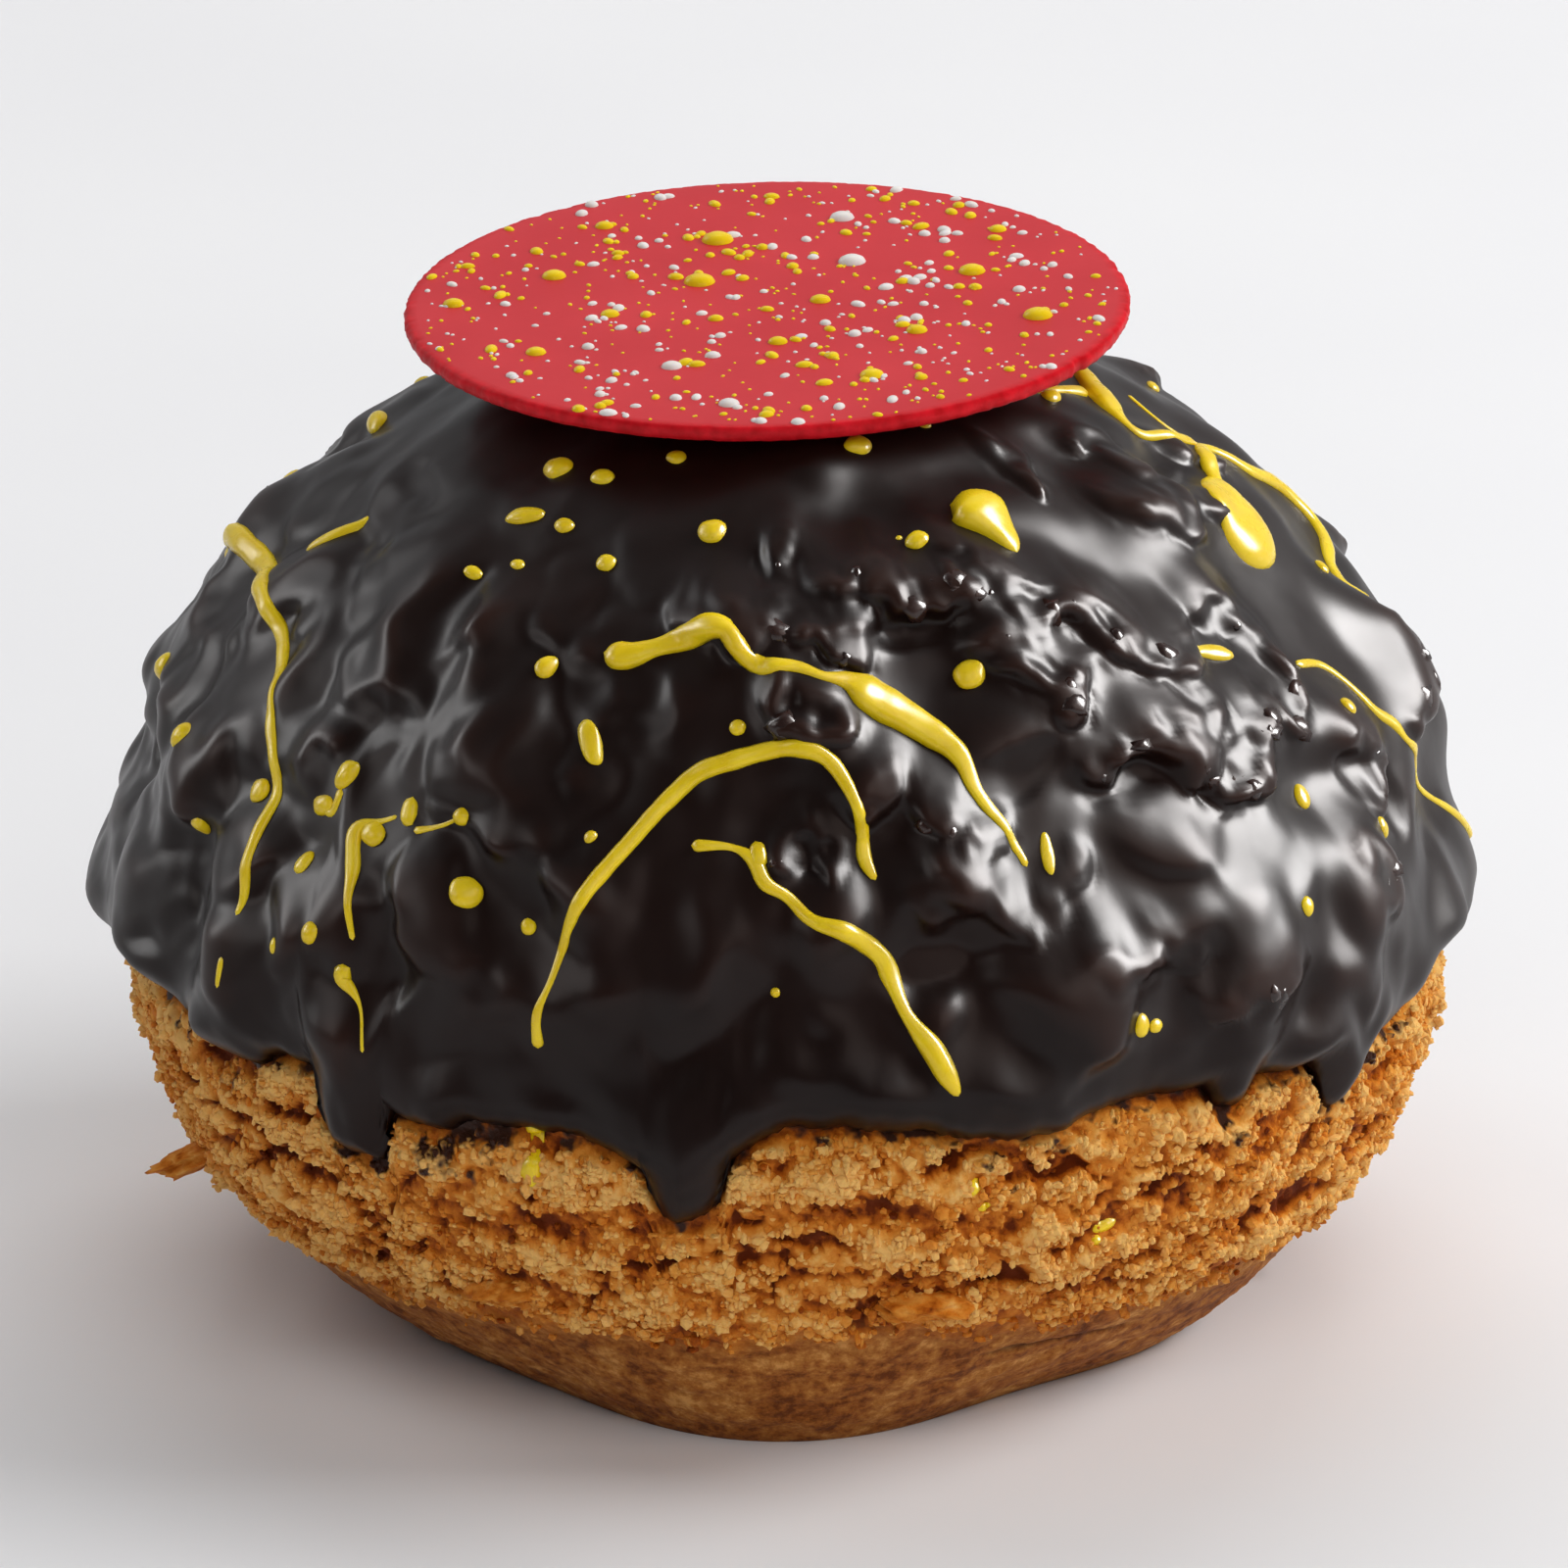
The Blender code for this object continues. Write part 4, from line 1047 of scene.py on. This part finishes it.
def make_grains(name, material, grids, seed, sizes):
    """Sugary crumbs that stand on the crust, with radii in millimetres between
    these sizes."""
    outside, ways, shade_and_tone, crumbly, _, below, stain = grids
    draw = np.random.default_rng(seed)
    patchy = eased(-0.4, 0.5, fractal(outside.reshape(-1, 3), 0.005, seed)).reshape(shade_and_tone.shape)
    chance = crumbly * (below > 0.6 * MM) * (0.12 + eased(0.30, 0.62, shade_and_tone)) * (0.25 + patchy)
    chance = chance.ravel() / chance.sum()
    picks = draw.choice(chance.size, GRAINS, replace=False, p=chance)
    places = outside.reshape(-1, 3)[picks]
    out = ways.reshape(-1, 3)[picks]
    shape, faces = ball(1)
    radius = MM * draw.uniform(*sizes, GRAINS)
    stretch = draw.uniform(0.55, 1.45, (GRAINS, 1, 3))
    bumpy = draw.uniform(0.75, 1.2, (GRAINS, len(shape), 1))
    centres = places + out * (radius * draw.uniform(-0.4, 0.45, GRAINS))[:, None]
    points = centres[:, None, :] + shape[None] * stretch * bumpy * radius[:, None, None]
    faces = faces[None] + (np.arange(GRAINS) * len(shape))[:, None, None]
    points, faces = points.reshape(-1, 3), faces.reshape(-1, 3).tolist()
    piece = new_piece(name, points, faces, material, slot="crust")
    piece.data.shade_flat()
    # Each grain takes the painted shade and light of its place, made a little lighter and spread at
    # random
    own = np.clip(shade_and_tone.ravel()[picks] + draw.normal(0.12, 0.15, GRAINS), 0, 1)
    own_stain = stain.ravel()[picks] / MM
    give_crust(piece, np.repeat(own, len(shape)), np.repeat(own_stain, len(shape)))


def make_flakes(material):
    """Flakes of crust that stand out of it, rough all over."""
    shape, faces = ball(4)
    parts = []
    for i, (azimuth, polar, length, thickness, reach, turn) in enumerate(FLAKES):
        place, along, across, out = bump_frame(azimuth, polar, turn)
        place = place + out * CRUST_THICKNESS / 2
        shifted = shape + 5 * i
        rough = 1 + 0.3 * fractal(shifted, 0.9, 41) + 0.16 * fractal(shifted, 0.24, 45, 2)
        local = shape * rough[:, None] * (length * MM, thickness * MM, reach * MM)
        parts.append((place + local @ np.stack((along, across, out)), faces.tolist()))
    points, faces = joined(parts)
    piece = new_piece("crust_flakes", points, faces, material, slot="crust")
    shade_and_tone = np.clip(0.55 + 0.4 * fractal(points, 0.0009, 42), 0, 1)
    give_crust(piece, shade_and_tone, UNSTAINED)


class Surface:
    """Finds points on the coat and crust from outside."""

    def __init__(self, *pieces):
        points, faces = [], []
        for piece in pieces:
            start = len(points)
            points += [vertex.co for vertex in piece.data.vertices]
            faces += [[start + i for i in face.vertices] for face in piece.data.polygons]
        self.tree = BVHTree.FromPolygons(points, faces)

    def along(self, way):
        """Where the line from CENTRE along a unit vector leaves the surface."""
        start = Vector(CENTRE) + Vector(way) * BUN_RADIUS * 2
        return self.tree.ray_cast(start, -Vector(way))[:2]

    def height(self, point, normal, most):
        """How far the surface lies above a point, measured along a normal."""
        hit, *_ = self.tree.ray_cast(point + normal * 3 * MM, -normal, 6 * MM)
        if hit is None:
            return -most
        return max(-most, min(most, (hit - point).dot(normal)))


def smooth_path(points, step):
    """Catmull-Rom interpolation of (azimuth, polar, width) rows, this far apart in mm."""
    rows = np.array(points, float)
    ends = [2 * rows[0] - rows[1], *rows, 2 * rows[-1] - rows[-2]]
    path = []
    for a, b, c, d in zip(ends, ends[1:], ends[2:], ends[3:]):
        span = np.linalg.norm(on_bun(directions(b[0], b[1])) - on_bun(directions(c[0], c[1])))
        for t in np.linspace(0, 1, max(2, round(span / MM / step)), endpoint=False):
            path.append(
                b
                + 0.5 * t * (c - a)
                + t**2 * (a - 2.5 * b + 2 * c - 0.5 * d)
                + t**3 * (1.5 * (b - c) + 0.5 * (d - a))
            )
    return np.array([*path, rows[-1]])


def averaged(rows, reach):
    """Each row averaged with its neighbours along a path."""
    rows = np.asarray(rows, float)
    padded = np.pad(rows, ((reach, reach), (0, 0)), mode="edge")
    return sum(padded[i : i + len(rows)] for i in range(2 * reach + 1)) / (2 * reach + 1)


def bead_halves(widths, places, seed):
    """Half the width of a line of drizzle at each place: it wavers, and ends round."""
    steps = np.linalg.norm(np.diff(places, axis=0), axis=1)
    travelled = np.concatenate(([0], np.cumsum(steps)))
    left = np.minimum(travelled, travelled[-1] - travelled)
    line = np.stack((travelled / 0.0016, left * 0 + seed, left * 0), axis=1)
    half = np.clip(widths, 0.25, None) / 2 * MM * (1 + 0.10 * noise(line, 3))
    close = np.clip(left / half, 0, 1)
    return half * np.sqrt(1 - (1 - close) ** 2 * 0.96)


def bead(surface, stroke, seed):
    """Points and faces of one line of drizzle that lies on the surface."""
    path = smooth_path(stroke, STROKE_STEP)
    hits = [surface.along(directions(a, p)) for a, p, _ in path]
    places = averaged([hit[0] for hit in hits], 2)
    normals = unit(averaged([hit[1] for hit in hits], 3))
    heading = np.gradient(places, axis=0)
    side = unit(np.cross(normals, heading))
    half = bead_halves(path[:, 2], places, seed)
    spread = np.linspace(-1, 1, STROKE_ACROSS)
    base = np.array(
        [
            [surface.height(Vector(p + s * h * t), Vector(n), 0.5 * MM) for t in spread]
            for p, n, s, h in zip(places, normals, side, half)
        ]
    )
    base = averaged(base, 2)
    dome = (STROKE_RISE * half * 2)[:, None] * np.sqrt(1 - spread**2 * 0.999) ** 0.9

    def strip(across, heights):
        level = places[:, None] + side[:, None] * (half[:, None] * across)[..., None]
        return level + normals[:, None] * heights[..., None]

    top = strip(spread, base + dome - SUNK)
    under = strip(spread[-2:0:-3], base[:, -2:0:-3] - 0.22 * MM)
    tail = places[0] - heading[0] / np.linalg.norm(heading[0]) * half[0] * 0.5
    tip = places[-1] + heading[-1] / np.linalg.norm(heading[-1]) * half[-1] * 0.5
    return lofted_points(list(np.concatenate((top, under), axis=1)), tail, tip)


def drop(surface, azimuth, polar, length, width, turn, seed):
    """Points and faces of one drop that lies on the surface."""
    place, normal = surface.along(directions(azimuth, polar))
    if place is None:
        return None
    level = Vector(directions(azimuth + 90, 90))
    along = (level - normal * level.dot(normal)).normalized()
    along = Matrix.Rotation(math.radians(turn), 3, normal) @ along
    across = normal.cross(along)
    rows = SMALL_DROP_ROWS if length < SMALL_DROP else DROP_ROWS
    segments = DROP_SIDES[(length >= SMALL_DROP) + (length >= LARGE_DROP)]
    turns = full_turn(segments)
    circle = np.stack((np.cos(turns), np.sin(turns), np.full(segments, seed * 1.7)), axis=1)
    outline = 1 + 0.14 * noise(circle * 0.9, 17)
    tallness = DROP_RISE * min(width, WIDEST_RISE) * MM
    loops = []
    for share in rows:
        flats = []
        for turned, edge in zip(turns, outline):
            flat = place + along * (share * edge * length / 2 * MM * math.cos(turned))
            flats.append(flat + across * (share * edge * width / 2 * MM * math.sin(turned)))
        rises = np.array([surface.height(flat, normal, 0.9 * MM) for flat in flats])
        rises = rises.mean() + (rises - rises.mean()) * share**3 - SUNK
        dome = tallness * math.sqrt(max(0, 1 - share**2.4))
        loops.append(np.array([f + normal * (rise + dome) for f, rise in zip(flats, rises)]))
    loops.append(np.array([Vector(p) - normal * 0.25 * MM for p in loops[-1]]))
    return lofted_points(loops, place + normal * tallness, place - normal * 0.3 * MM)


def joined(parts):
    """One vertex list and face list out of several."""
    points, faces, start = [], [], 0
    for some, its_faces in parts:
        points.append(np.asarray(some))
        faces += [[start + i for i in face] for face in its_faces]
        start += len(some)
    return np.concatenate(points), faces


def make_drizzle(material, surface):
    """The yellow drizzle: strokes, and drops of all sizes."""
    beads = [bead(surface, stroke, i) for i, stroke in enumerate(STROKES)]
    strokes = new_piece("drizzle_strokes", *joined(beads), material, slot="dark_chocolate")
    draw = random.Random(31)
    places = list(DROPS)
    while len(places) < len(DROPS) + BACK_DROPS:
        azimuth = draw.uniform(100, 250)
        polar = math.degrees(math.acos(draw.uniform(-0.02, 0.9)))
        size = 0.5 + 2.0 * draw.random() ** 3
        places.append((azimuth, polar, size * draw.uniform(1, 1.4), size, draw.uniform(-90, 90)))
    drops = [drop(surface, *place, i) for i, place in enumerate(places)]
    drops = [each for each in drops if each]
    return strokes, new_piece("drizzle_drops", *joined(drops), material, slot="dark_chocolate")


# The red oval


def plaque_frame():
    """The oval's place: a function from its own frame to the puff's."""
    turn = np.array(Euler((PLAQUE_TILT, PLAQUE_ROLL, 0)).to_matrix())
    fall = math.hypot(turn[2, 0] * PLAQUE_LENGTH, turn[2, 1] * PLAQUE_DEPTH) / 2
    low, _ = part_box("plaque")
    origin = np.array((*PLAQUE_SHIFT, low[2] + fall))

    def placed(points):
        return np.asarray(points) @ turn.T + origin

    return placed


def make_plaque(material, placed):
    """The thin oval, with a slightly broken edge."""
    turns = full_turn(PLAQUE_SIDES)
    circle = np.stack((np.cos(turns), np.sin(turns), 0 * turns), axis=1)
    around = circle * (PLAQUE_LENGTH / 2, PLAQUE_DEPTH / 2, 1)
    chips = np.clip(fractal(around, 0.0016, 51) - 0.45, 0, 1) * 0.35 * MM
    chips += 0.05 * MM * fractal(around, 0.0007, 52, 2)
    loops = []
    for span, height in PLAQUE_PROFILE:
        ring = around * (span, span, 0)
        level = np.full(PLAQUE_SIDES, height * PLAQUE_THICKNESS)
        edge = eased(0.96, 0.99, span)
        nicked = chips + 0.06 * MM * fractal(around + (0, 0, height * 0.002), 0.0006, 53, 2)
        ring = ring * (1 - (edge * nicked / (PLAQUE_DEPTH / 2)))[:, None]
        if height == 1.0:
            level = level + 0.02 * MM * fractal(ring, 0.008, 54, 2)
        loops.append(placed(ring + np.stack((0 * level, 0 * level, level), axis=1)))
    ends = placed(((0, 0, PLAQUE_THICKNESS), (0, 0, 0)))
    points, faces = lofted_points(loops, *ends)
    piece = new_piece("plaque_red", points, faces, material, slot="red_chocolate")
    rim = np.repeat([eased(0.97, 0.995, span) for span, _ in PLAQUE_PROFILE], PLAQUE_SIDES)
    give(piece, "rim", np.pad(rim, (0, len(ends))))
    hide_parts("plaque")


def speckle(placed, x, y, size, stretch, turn, segments):
    """One domed drop on the oval's face."""
    turns = full_turn(segments)
    loops = []
    for share, rise in ((0.5, 0.86), (0.85, 0.5), (1.0, 0.0), (1.0, -0.2)):
        along = share * size / 2 * stretch * np.cos(turns)
        across = share * size / 2 * np.sin(turns)
        ring = np.stack(
            (
                x + along * math.cos(turn) - across * math.sin(turn),
                y + along * math.sin(turn) + across * math.cos(turn),
                PLAQUE_THICKNESS + 0.3 * size * rise + 0 * along,
            ),
            axis=1,
        )
        loops.append(placed(ring))
    ends = placed(((x, y, PLAQUE_THICKNESS + 0.3 * size), (x, y, PLAQUE_THICKNESS - 0.1 * MM)))
    return lofted_points(loops, *ends)


def on_oval(reach, turn):
    """A place on the oval's face, this share of the way out to its edge."""
    x = reach * PLAQUE_LENGTH / 2 * math.cos(turn)
    return x, reach * PLAQUE_DEPTH / 2 * math.sin(turn)


def make_speckles(yellow, white, placed):
    """Drops on the oval: the largest ones of the solids, and many finer ones."""
    draw = random.Random(8)
    golden = math.pi * (3 - math.sqrt(5))
    kinds = {"yellow": [], "white": []}
    for i in range(SPECKLES):
        place = on_oval(0.88 * math.sqrt((i + 0.5) / SPECKLES), i * golden)
        size = draw.uniform(0.0010, 0.0018)
        kind = "white" if i % 4 == 3 else "yellow"
        kinds[kind].append(speckle(placed, *place, size, 1.2, 0, 20))
    draw = random.Random(12)
    for i in range(SMALL_SPECKLES):
        place = on_oval(0.97 * math.sqrt(draw.random()), draw.uniform(0, 2 * math.pi))
        size = 0.00021 + 0.00070 * draw.random() ** 3
        kind = "white" if draw.random() < 0.42 else "yellow"
        stretch, spin = draw.uniform(1, 1.5), draw.uniform(0, math.pi)
        segments = 8 if size < 0.0004 else 12
        kinds[kind].append(speckle(placed, *place, size, stretch, spin, segments))
    new_piece("speckles_yellow", *joined(kinds["yellow"]), yellow, slot="red_chocolate")
    new_piece("speckles_white", *joined(kinds["white"]), white, slot="red_chocolate")


# Materials


class Nodes:
    """Short calls for building a material's nodes. Sizes are in metres."""

    def __init__(self, name):
        self.material = bpy.data.materials.new(name)
        self.material.use_nodes = True
        self.tree = self.material.node_tree
        self.shader = self.tree.nodes["Principled BSDF"]

    def add(self, kind, **inputs):
        node = self.tree.nodes.new(kind)
        for name, value in inputs.items():
            self.set(node.inputs[name.replace("_", " ")], value)
        return node

    def set(self, socket, value):
        if isinstance(value, bpy.types.NodeSocket):
            self.tree.links.new(value, socket)
        else:
            socket.default_value = value

    def noise(self, size, detail=3.0, roughness=0.5, squash=None):
        place = self.add("ShaderNodeTexCoord").outputs["Object"]
        if squash:
            node = self.add("ShaderNodeVectorMath")
            node.operation = "MULTIPLY"
            self.set(node.inputs[0], place)
            self.set(node.inputs[1], squash)
            place = node.outputs[0]
        return self.add(
            "ShaderNodeTexNoise", Vector=place, Scale=1 / size, Detail=detail, Roughness=roughness
        ).outputs["Fac"]

    def ramp(self, value, stops):
        node = self.add("ShaderNodeValToRGB", Fac=value)
        elements = node.color_ramp.elements
        while len(elements) < len(stops):
            elements.new(0.5)
        for element, (place, colour) in zip(elements, stops):
            element.position = place
            element.color = (*colour, 1)
        return node.outputs["Color"]

    def math(self, operation, *values):
        node = self.add("ShaderNodeMath")
        node.operation = operation
        for socket, value in zip(node.inputs, values):
            self.set(socket, value)
        return node.outputs[0]

    def span(self, value, low, high, new_low, new_high):
        ends = {"From_Min": low, "From_Max": high, "To_Min": new_low, "To_Max": new_high}
        return self.add("ShaderNodeMapRange", Value=value, **ends).outputs["Result"]

    def stretched(self, noise, low, high):
        return self.span(noise, 0.3, 0.7, low, high)

    def two_tone(self, noise, colours, places=(0.3, 0.7)):
        return self.ramp(noise, tuple(zip(places, colours)))

    def mix(self, share, first, second):
        node = self.add("ShaderNodeMix")
        node.data_type = "RGBA"
        self.set(node.inputs["Factor"], share)
        colours = [socket for socket in node.inputs if socket.type == "RGBA"]
        self.set(colours[0], first)
        self.set(colours[1], second)
        return next(socket for socket in node.outputs if socket.type == "RGBA")

    def attribute(self, name):
        node = self.add("ShaderNodeAttribute")
        node.attribute_name = name
        return node.outputs["Fac"]

    def bump(self, height, distance, strength):
        node = self.add("ShaderNodeBump", Height=height, Distance=distance, Strength=strength)
        self.set(self.shader.inputs["Normal"], node.outputs["Normal"])

    def finish(self, **inputs):
        for name, value in inputs.items():
            self.set(self.shader.inputs[name.replace("_", " ")], value)
        return self.material


def chocolate_material():
    """Satin chocolate, a little paler where it is thin."""
    nodes = Nodes("dark_chocolate_coat")
    colour = nodes.two_tone(nodes.noise(0.011), CHOCOLATE)
    thin = nodes.span(nodes.attribute("thin"), 0.08, 0.45, 0.0, 1.0)
    colour = nodes.mix(thin, colour, THIN_CHOCOLATE)
    roughness = nodes.stretched(nodes.noise(0.006, 4.0), 0.30, 0.40)
    nodes.bump(nodes.noise(0.0011, 2.0), 0.00002, 0.3)
    return nodes.finish(Base_Color=colour, Roughness=roughness, IOR=1.30)


def nub_material():
    """Glossier, slightly paler chocolate for the nubs."""
    nodes = Nodes("chocolate_nubs")
    colour = nodes.two_tone(nodes.noise(0.002, 2.0), NUB)
    roughness = nodes.stretched(nodes.noise(0.001, 2.0), 0.20, 0.32)
    nodes.bump(nodes.noise(0.0004, 2.0), 0.00003, 0.3)
    return nodes.finish(Base_Color=colour, Roughness=roughness, IOR=1.5)


def crust_material():
    """Baked crumb with painted shade in its hollows and painted light on its crests, smooth choux,
    and specks of chocolate below the hem.
    """
    nodes = Nodes("baked_crust")
    grain = nodes.stretched(nodes.noise(0.0007, 4.0, 0.7), -0.16, 0.16)
    patch = nodes.stretched(nodes.noise(0.006), -0.1, 0.1)
    # The crumb's colour follows painted shade in hollows and painted light on crests, with random
    # grain and patches on it
    shade_and_tone = nodes.math("ADD", nodes.math("ADD", nodes.attribute("shade_and_tone"), grain), patch)
    fleck = nodes.stretched(nodes.noise(0.0009, 3.0, 0.7), -0.15, 0.15)
    streak = nodes.math("ADD", nodes.noise(0.0042, 6.0, 0.70, (1, 1, 1.8)), fleck)
    choux = nodes.mix(nodes.attribute("crack"), nodes.ramp(streak, CHOUX), CRACK)
    colour = nodes.mix(nodes.attribute("crumbly"), choux, nodes.ramp(shade_and_tone, CRUMB))
    near_hem = nodes.span(nodes.attribute("below"), 0.0, 2.2, 0.16, -0.24)
    spots = nodes.math("ADD", nodes.noise(0.0016, 2.0), near_hem)
    stained = nodes.span(spots, 0.60, 0.70, 0.0, 1.0)
    colour = nodes.mix(stained, colour, STAIN)
    roughness = nodes.span(stained, 0.0, 1.0, 0.72, 0.3)
    nodes.bump(nodes.noise(0.00035, 3.0, 0.7), 0.00018, 0.6)
    return nodes.finish(
        Base_Color=colour, Roughness=roughness, Subsurface_Weight=0.12,
        Subsurface_Radius=(1.0, 0.4, 0.15), Subsurface_Scale=0.0008, IOR=1.28,
    )


def drizzle_material(name, colours):
    """Glossy drizzle that lets a little light in."""
    nodes = Nodes(name)
    colour = nodes.two_tone(nodes.noise(0.0022, 2.0), colours, (0.35, 0.65))
    roughness = nodes.stretched(nodes.noise(0.0015, 2.0), 0.22, 0.34)
    nodes.bump(nodes.noise(0.0006, 2.0), 0.00003, 0.3)
    return nodes.finish(
        Base_Color=colour, Roughness=roughness, Subsurface_Weight=0.08,
        Subsurface_Radius=(1.0, 0.7, 0.1), Subsurface_Scale=0.0005, IOR=1.45,
    )


def plaque_material():
    """Red chocolate, rougher and uneven along its rim."""
    nodes = Nodes("red_chocolate")
    fine = nodes.noise(0.0009)
    rim = nodes.attribute("rim")
    face = nodes.two_tone(nodes.noise(0.009), OVAL_FACE)
    colour = nodes.mix(rim, face, nodes.two_tone(fine, OVAL_RIM))
    roughness = nodes.span(rim, 0.0, 1.0, 0.34, 0.5)
    nodes.bump(fine, 0.00006, nodes.span(rim, 0.0, 1.0, 0.08, 0.9))
    return nodes.finish(Base_Color=colour, Roughness=roughness, IOR=1.32)


def floor_material():
    """A plain matt floor."""
    nodes = Nodes("pale_floor")
    colour = nodes.two_tone(nodes.noise(0.09, 2.0), FLOOR)
    return nodes.finish(Base_Color=colour, Roughness=0.9, Specular_IOR_Level=0.0)


# The scene


def add_floor():
    """A plain pale floor under the puff."""
    data = bpy.data.meshes.new("floor")
    corners = [(x * FLOOR_HALF, y * FLOOR_HALF, 0) for x, y in ((-1, -1), (1, -1), (1, 1), (-1, 1))]
    data.from_pydata(corners, [], [(0, 1, 2, 3)])
    floor = linked("floor", data)
    data.materials.append(floor_material())


def aimed(name, data, target, azimuth, elevation, distance):
    """A lamp or camera that faces a target from this far away."""
    thing = linked(name, data)
    way = Vector(directions(azimuth, 90 - elevation))
    thing.location = Vector(target) + way * distance
    thing.rotation_euler = way.to_track_quat("Z", "Y").to_euler()
    return thing


def add_softbox(name, azimuth, elevation, distance, size, power, colour=(1, 1, 1)):
    """A softbox that faces the puff."""
    data = bpy.data.lights.new(name, "AREA")
    data.shape = "RECTANGLE"
    data.size, data.size_y = size
    data.energy = power
    data.color = colour
    return aimed(name, data, LIGHT_TARGET, azimuth, elevation, distance)


def add_lights():
    """A soft key on the right, a weaker light on the left, and soft ones behind and in
    front. All but the left one only light matt surfaces, and the cards do their gloss."""
    for name, place, size, power in MATT_LAMPS:
        add_softbox(name, *place, size, power).visible_glossy = False
    add_softbox("left", *LEFT_LAMP)


def add_cards(glossy):
    """Cards that shine only in the gloss of these pieces."""
    shown = bpy.data.collections.new("glossy")
    for piece in glossy:
        shown.objects.link(piece)
    for side, place, size, power, colour in CARDS:
        card = add_softbox(f"{side}_card", *place, CARD_DISTANCE, size, power, colour)
        card.visible_diffuse = False
        card.light_linking.receiver_collection = shown


def add_world():
    """Dim light all round, darker towards the front, where the studio is dark."""
    world = bpy.data.worlds.new("studio")
    world.use_nodes = True
    tree = world.node_tree
    shade = tree.nodes["Background"]
    place = tree.nodes.new("ShaderNodeTexCoord")
    split = tree.nodes.new("ShaderNodeSeparateXYZ")
    tree.links.new(place.outputs["Generated"], split.inputs[0])
    ramp = tree.nodes.new("ShaderNodeMapRange")
    tree.links.new(split.outputs["Y"], ramp.inputs["Value"])
    for name, value in WORLD_RAMP.items():
        ramp.inputs[name].default_value = value
    shade.inputs["Color"].default_value = WORLD_COLOUR
    tree.links.new(ramp.outputs["Result"], shade.inputs["Strength"])
    bpy.context.scene.world = world


def add_camera():
    """A long lens from where the photo was taken, as far as its shape tells."""
    data = bpy.data.cameras.new("camera")
    data.lens = CAMERA_LENS
    data.sensor_width = 36
    data.clip_start = 0.01
    camera = aimed("camera", data, CAMERA_TARGET, 0, CAMERA_ELEVATION, CAMERA_DISTANCE)
    bpy.context.scene.camera = camera


def main():
    add_camera()
    add_world()
    add_floor()
    add_lights()
    bpy.context.scene.view_settings.view_transform = "Standard"
    crust = crust_material()
    yellow = drizzle_material("yellow_drizzle", YELLOW)
    white = drizzle_material("white_drizzle", WHITE)
    coat, coat_grids = make_coat(chocolate_material())
    nubs = make_nubs(nub_material(), Surface(coat), coat_grids)
    crust_grids = crust_grid()
    bun = make_crust(crust, crust_grids)
    for name, seed, sizes in GRAIN_PIECES:
        make_grains(name, crust, crust_grids, seed, sizes)
    make_flakes(crust)
    strokes, drops = make_drizzle(yellow, Surface(coat, bun))
    add_cards((coat, nubs, strokes, drops))
    placed = plaque_frame()
    make_plaque(plaque_material(), placed)
    make_speckles(yellow, white, placed)


main()
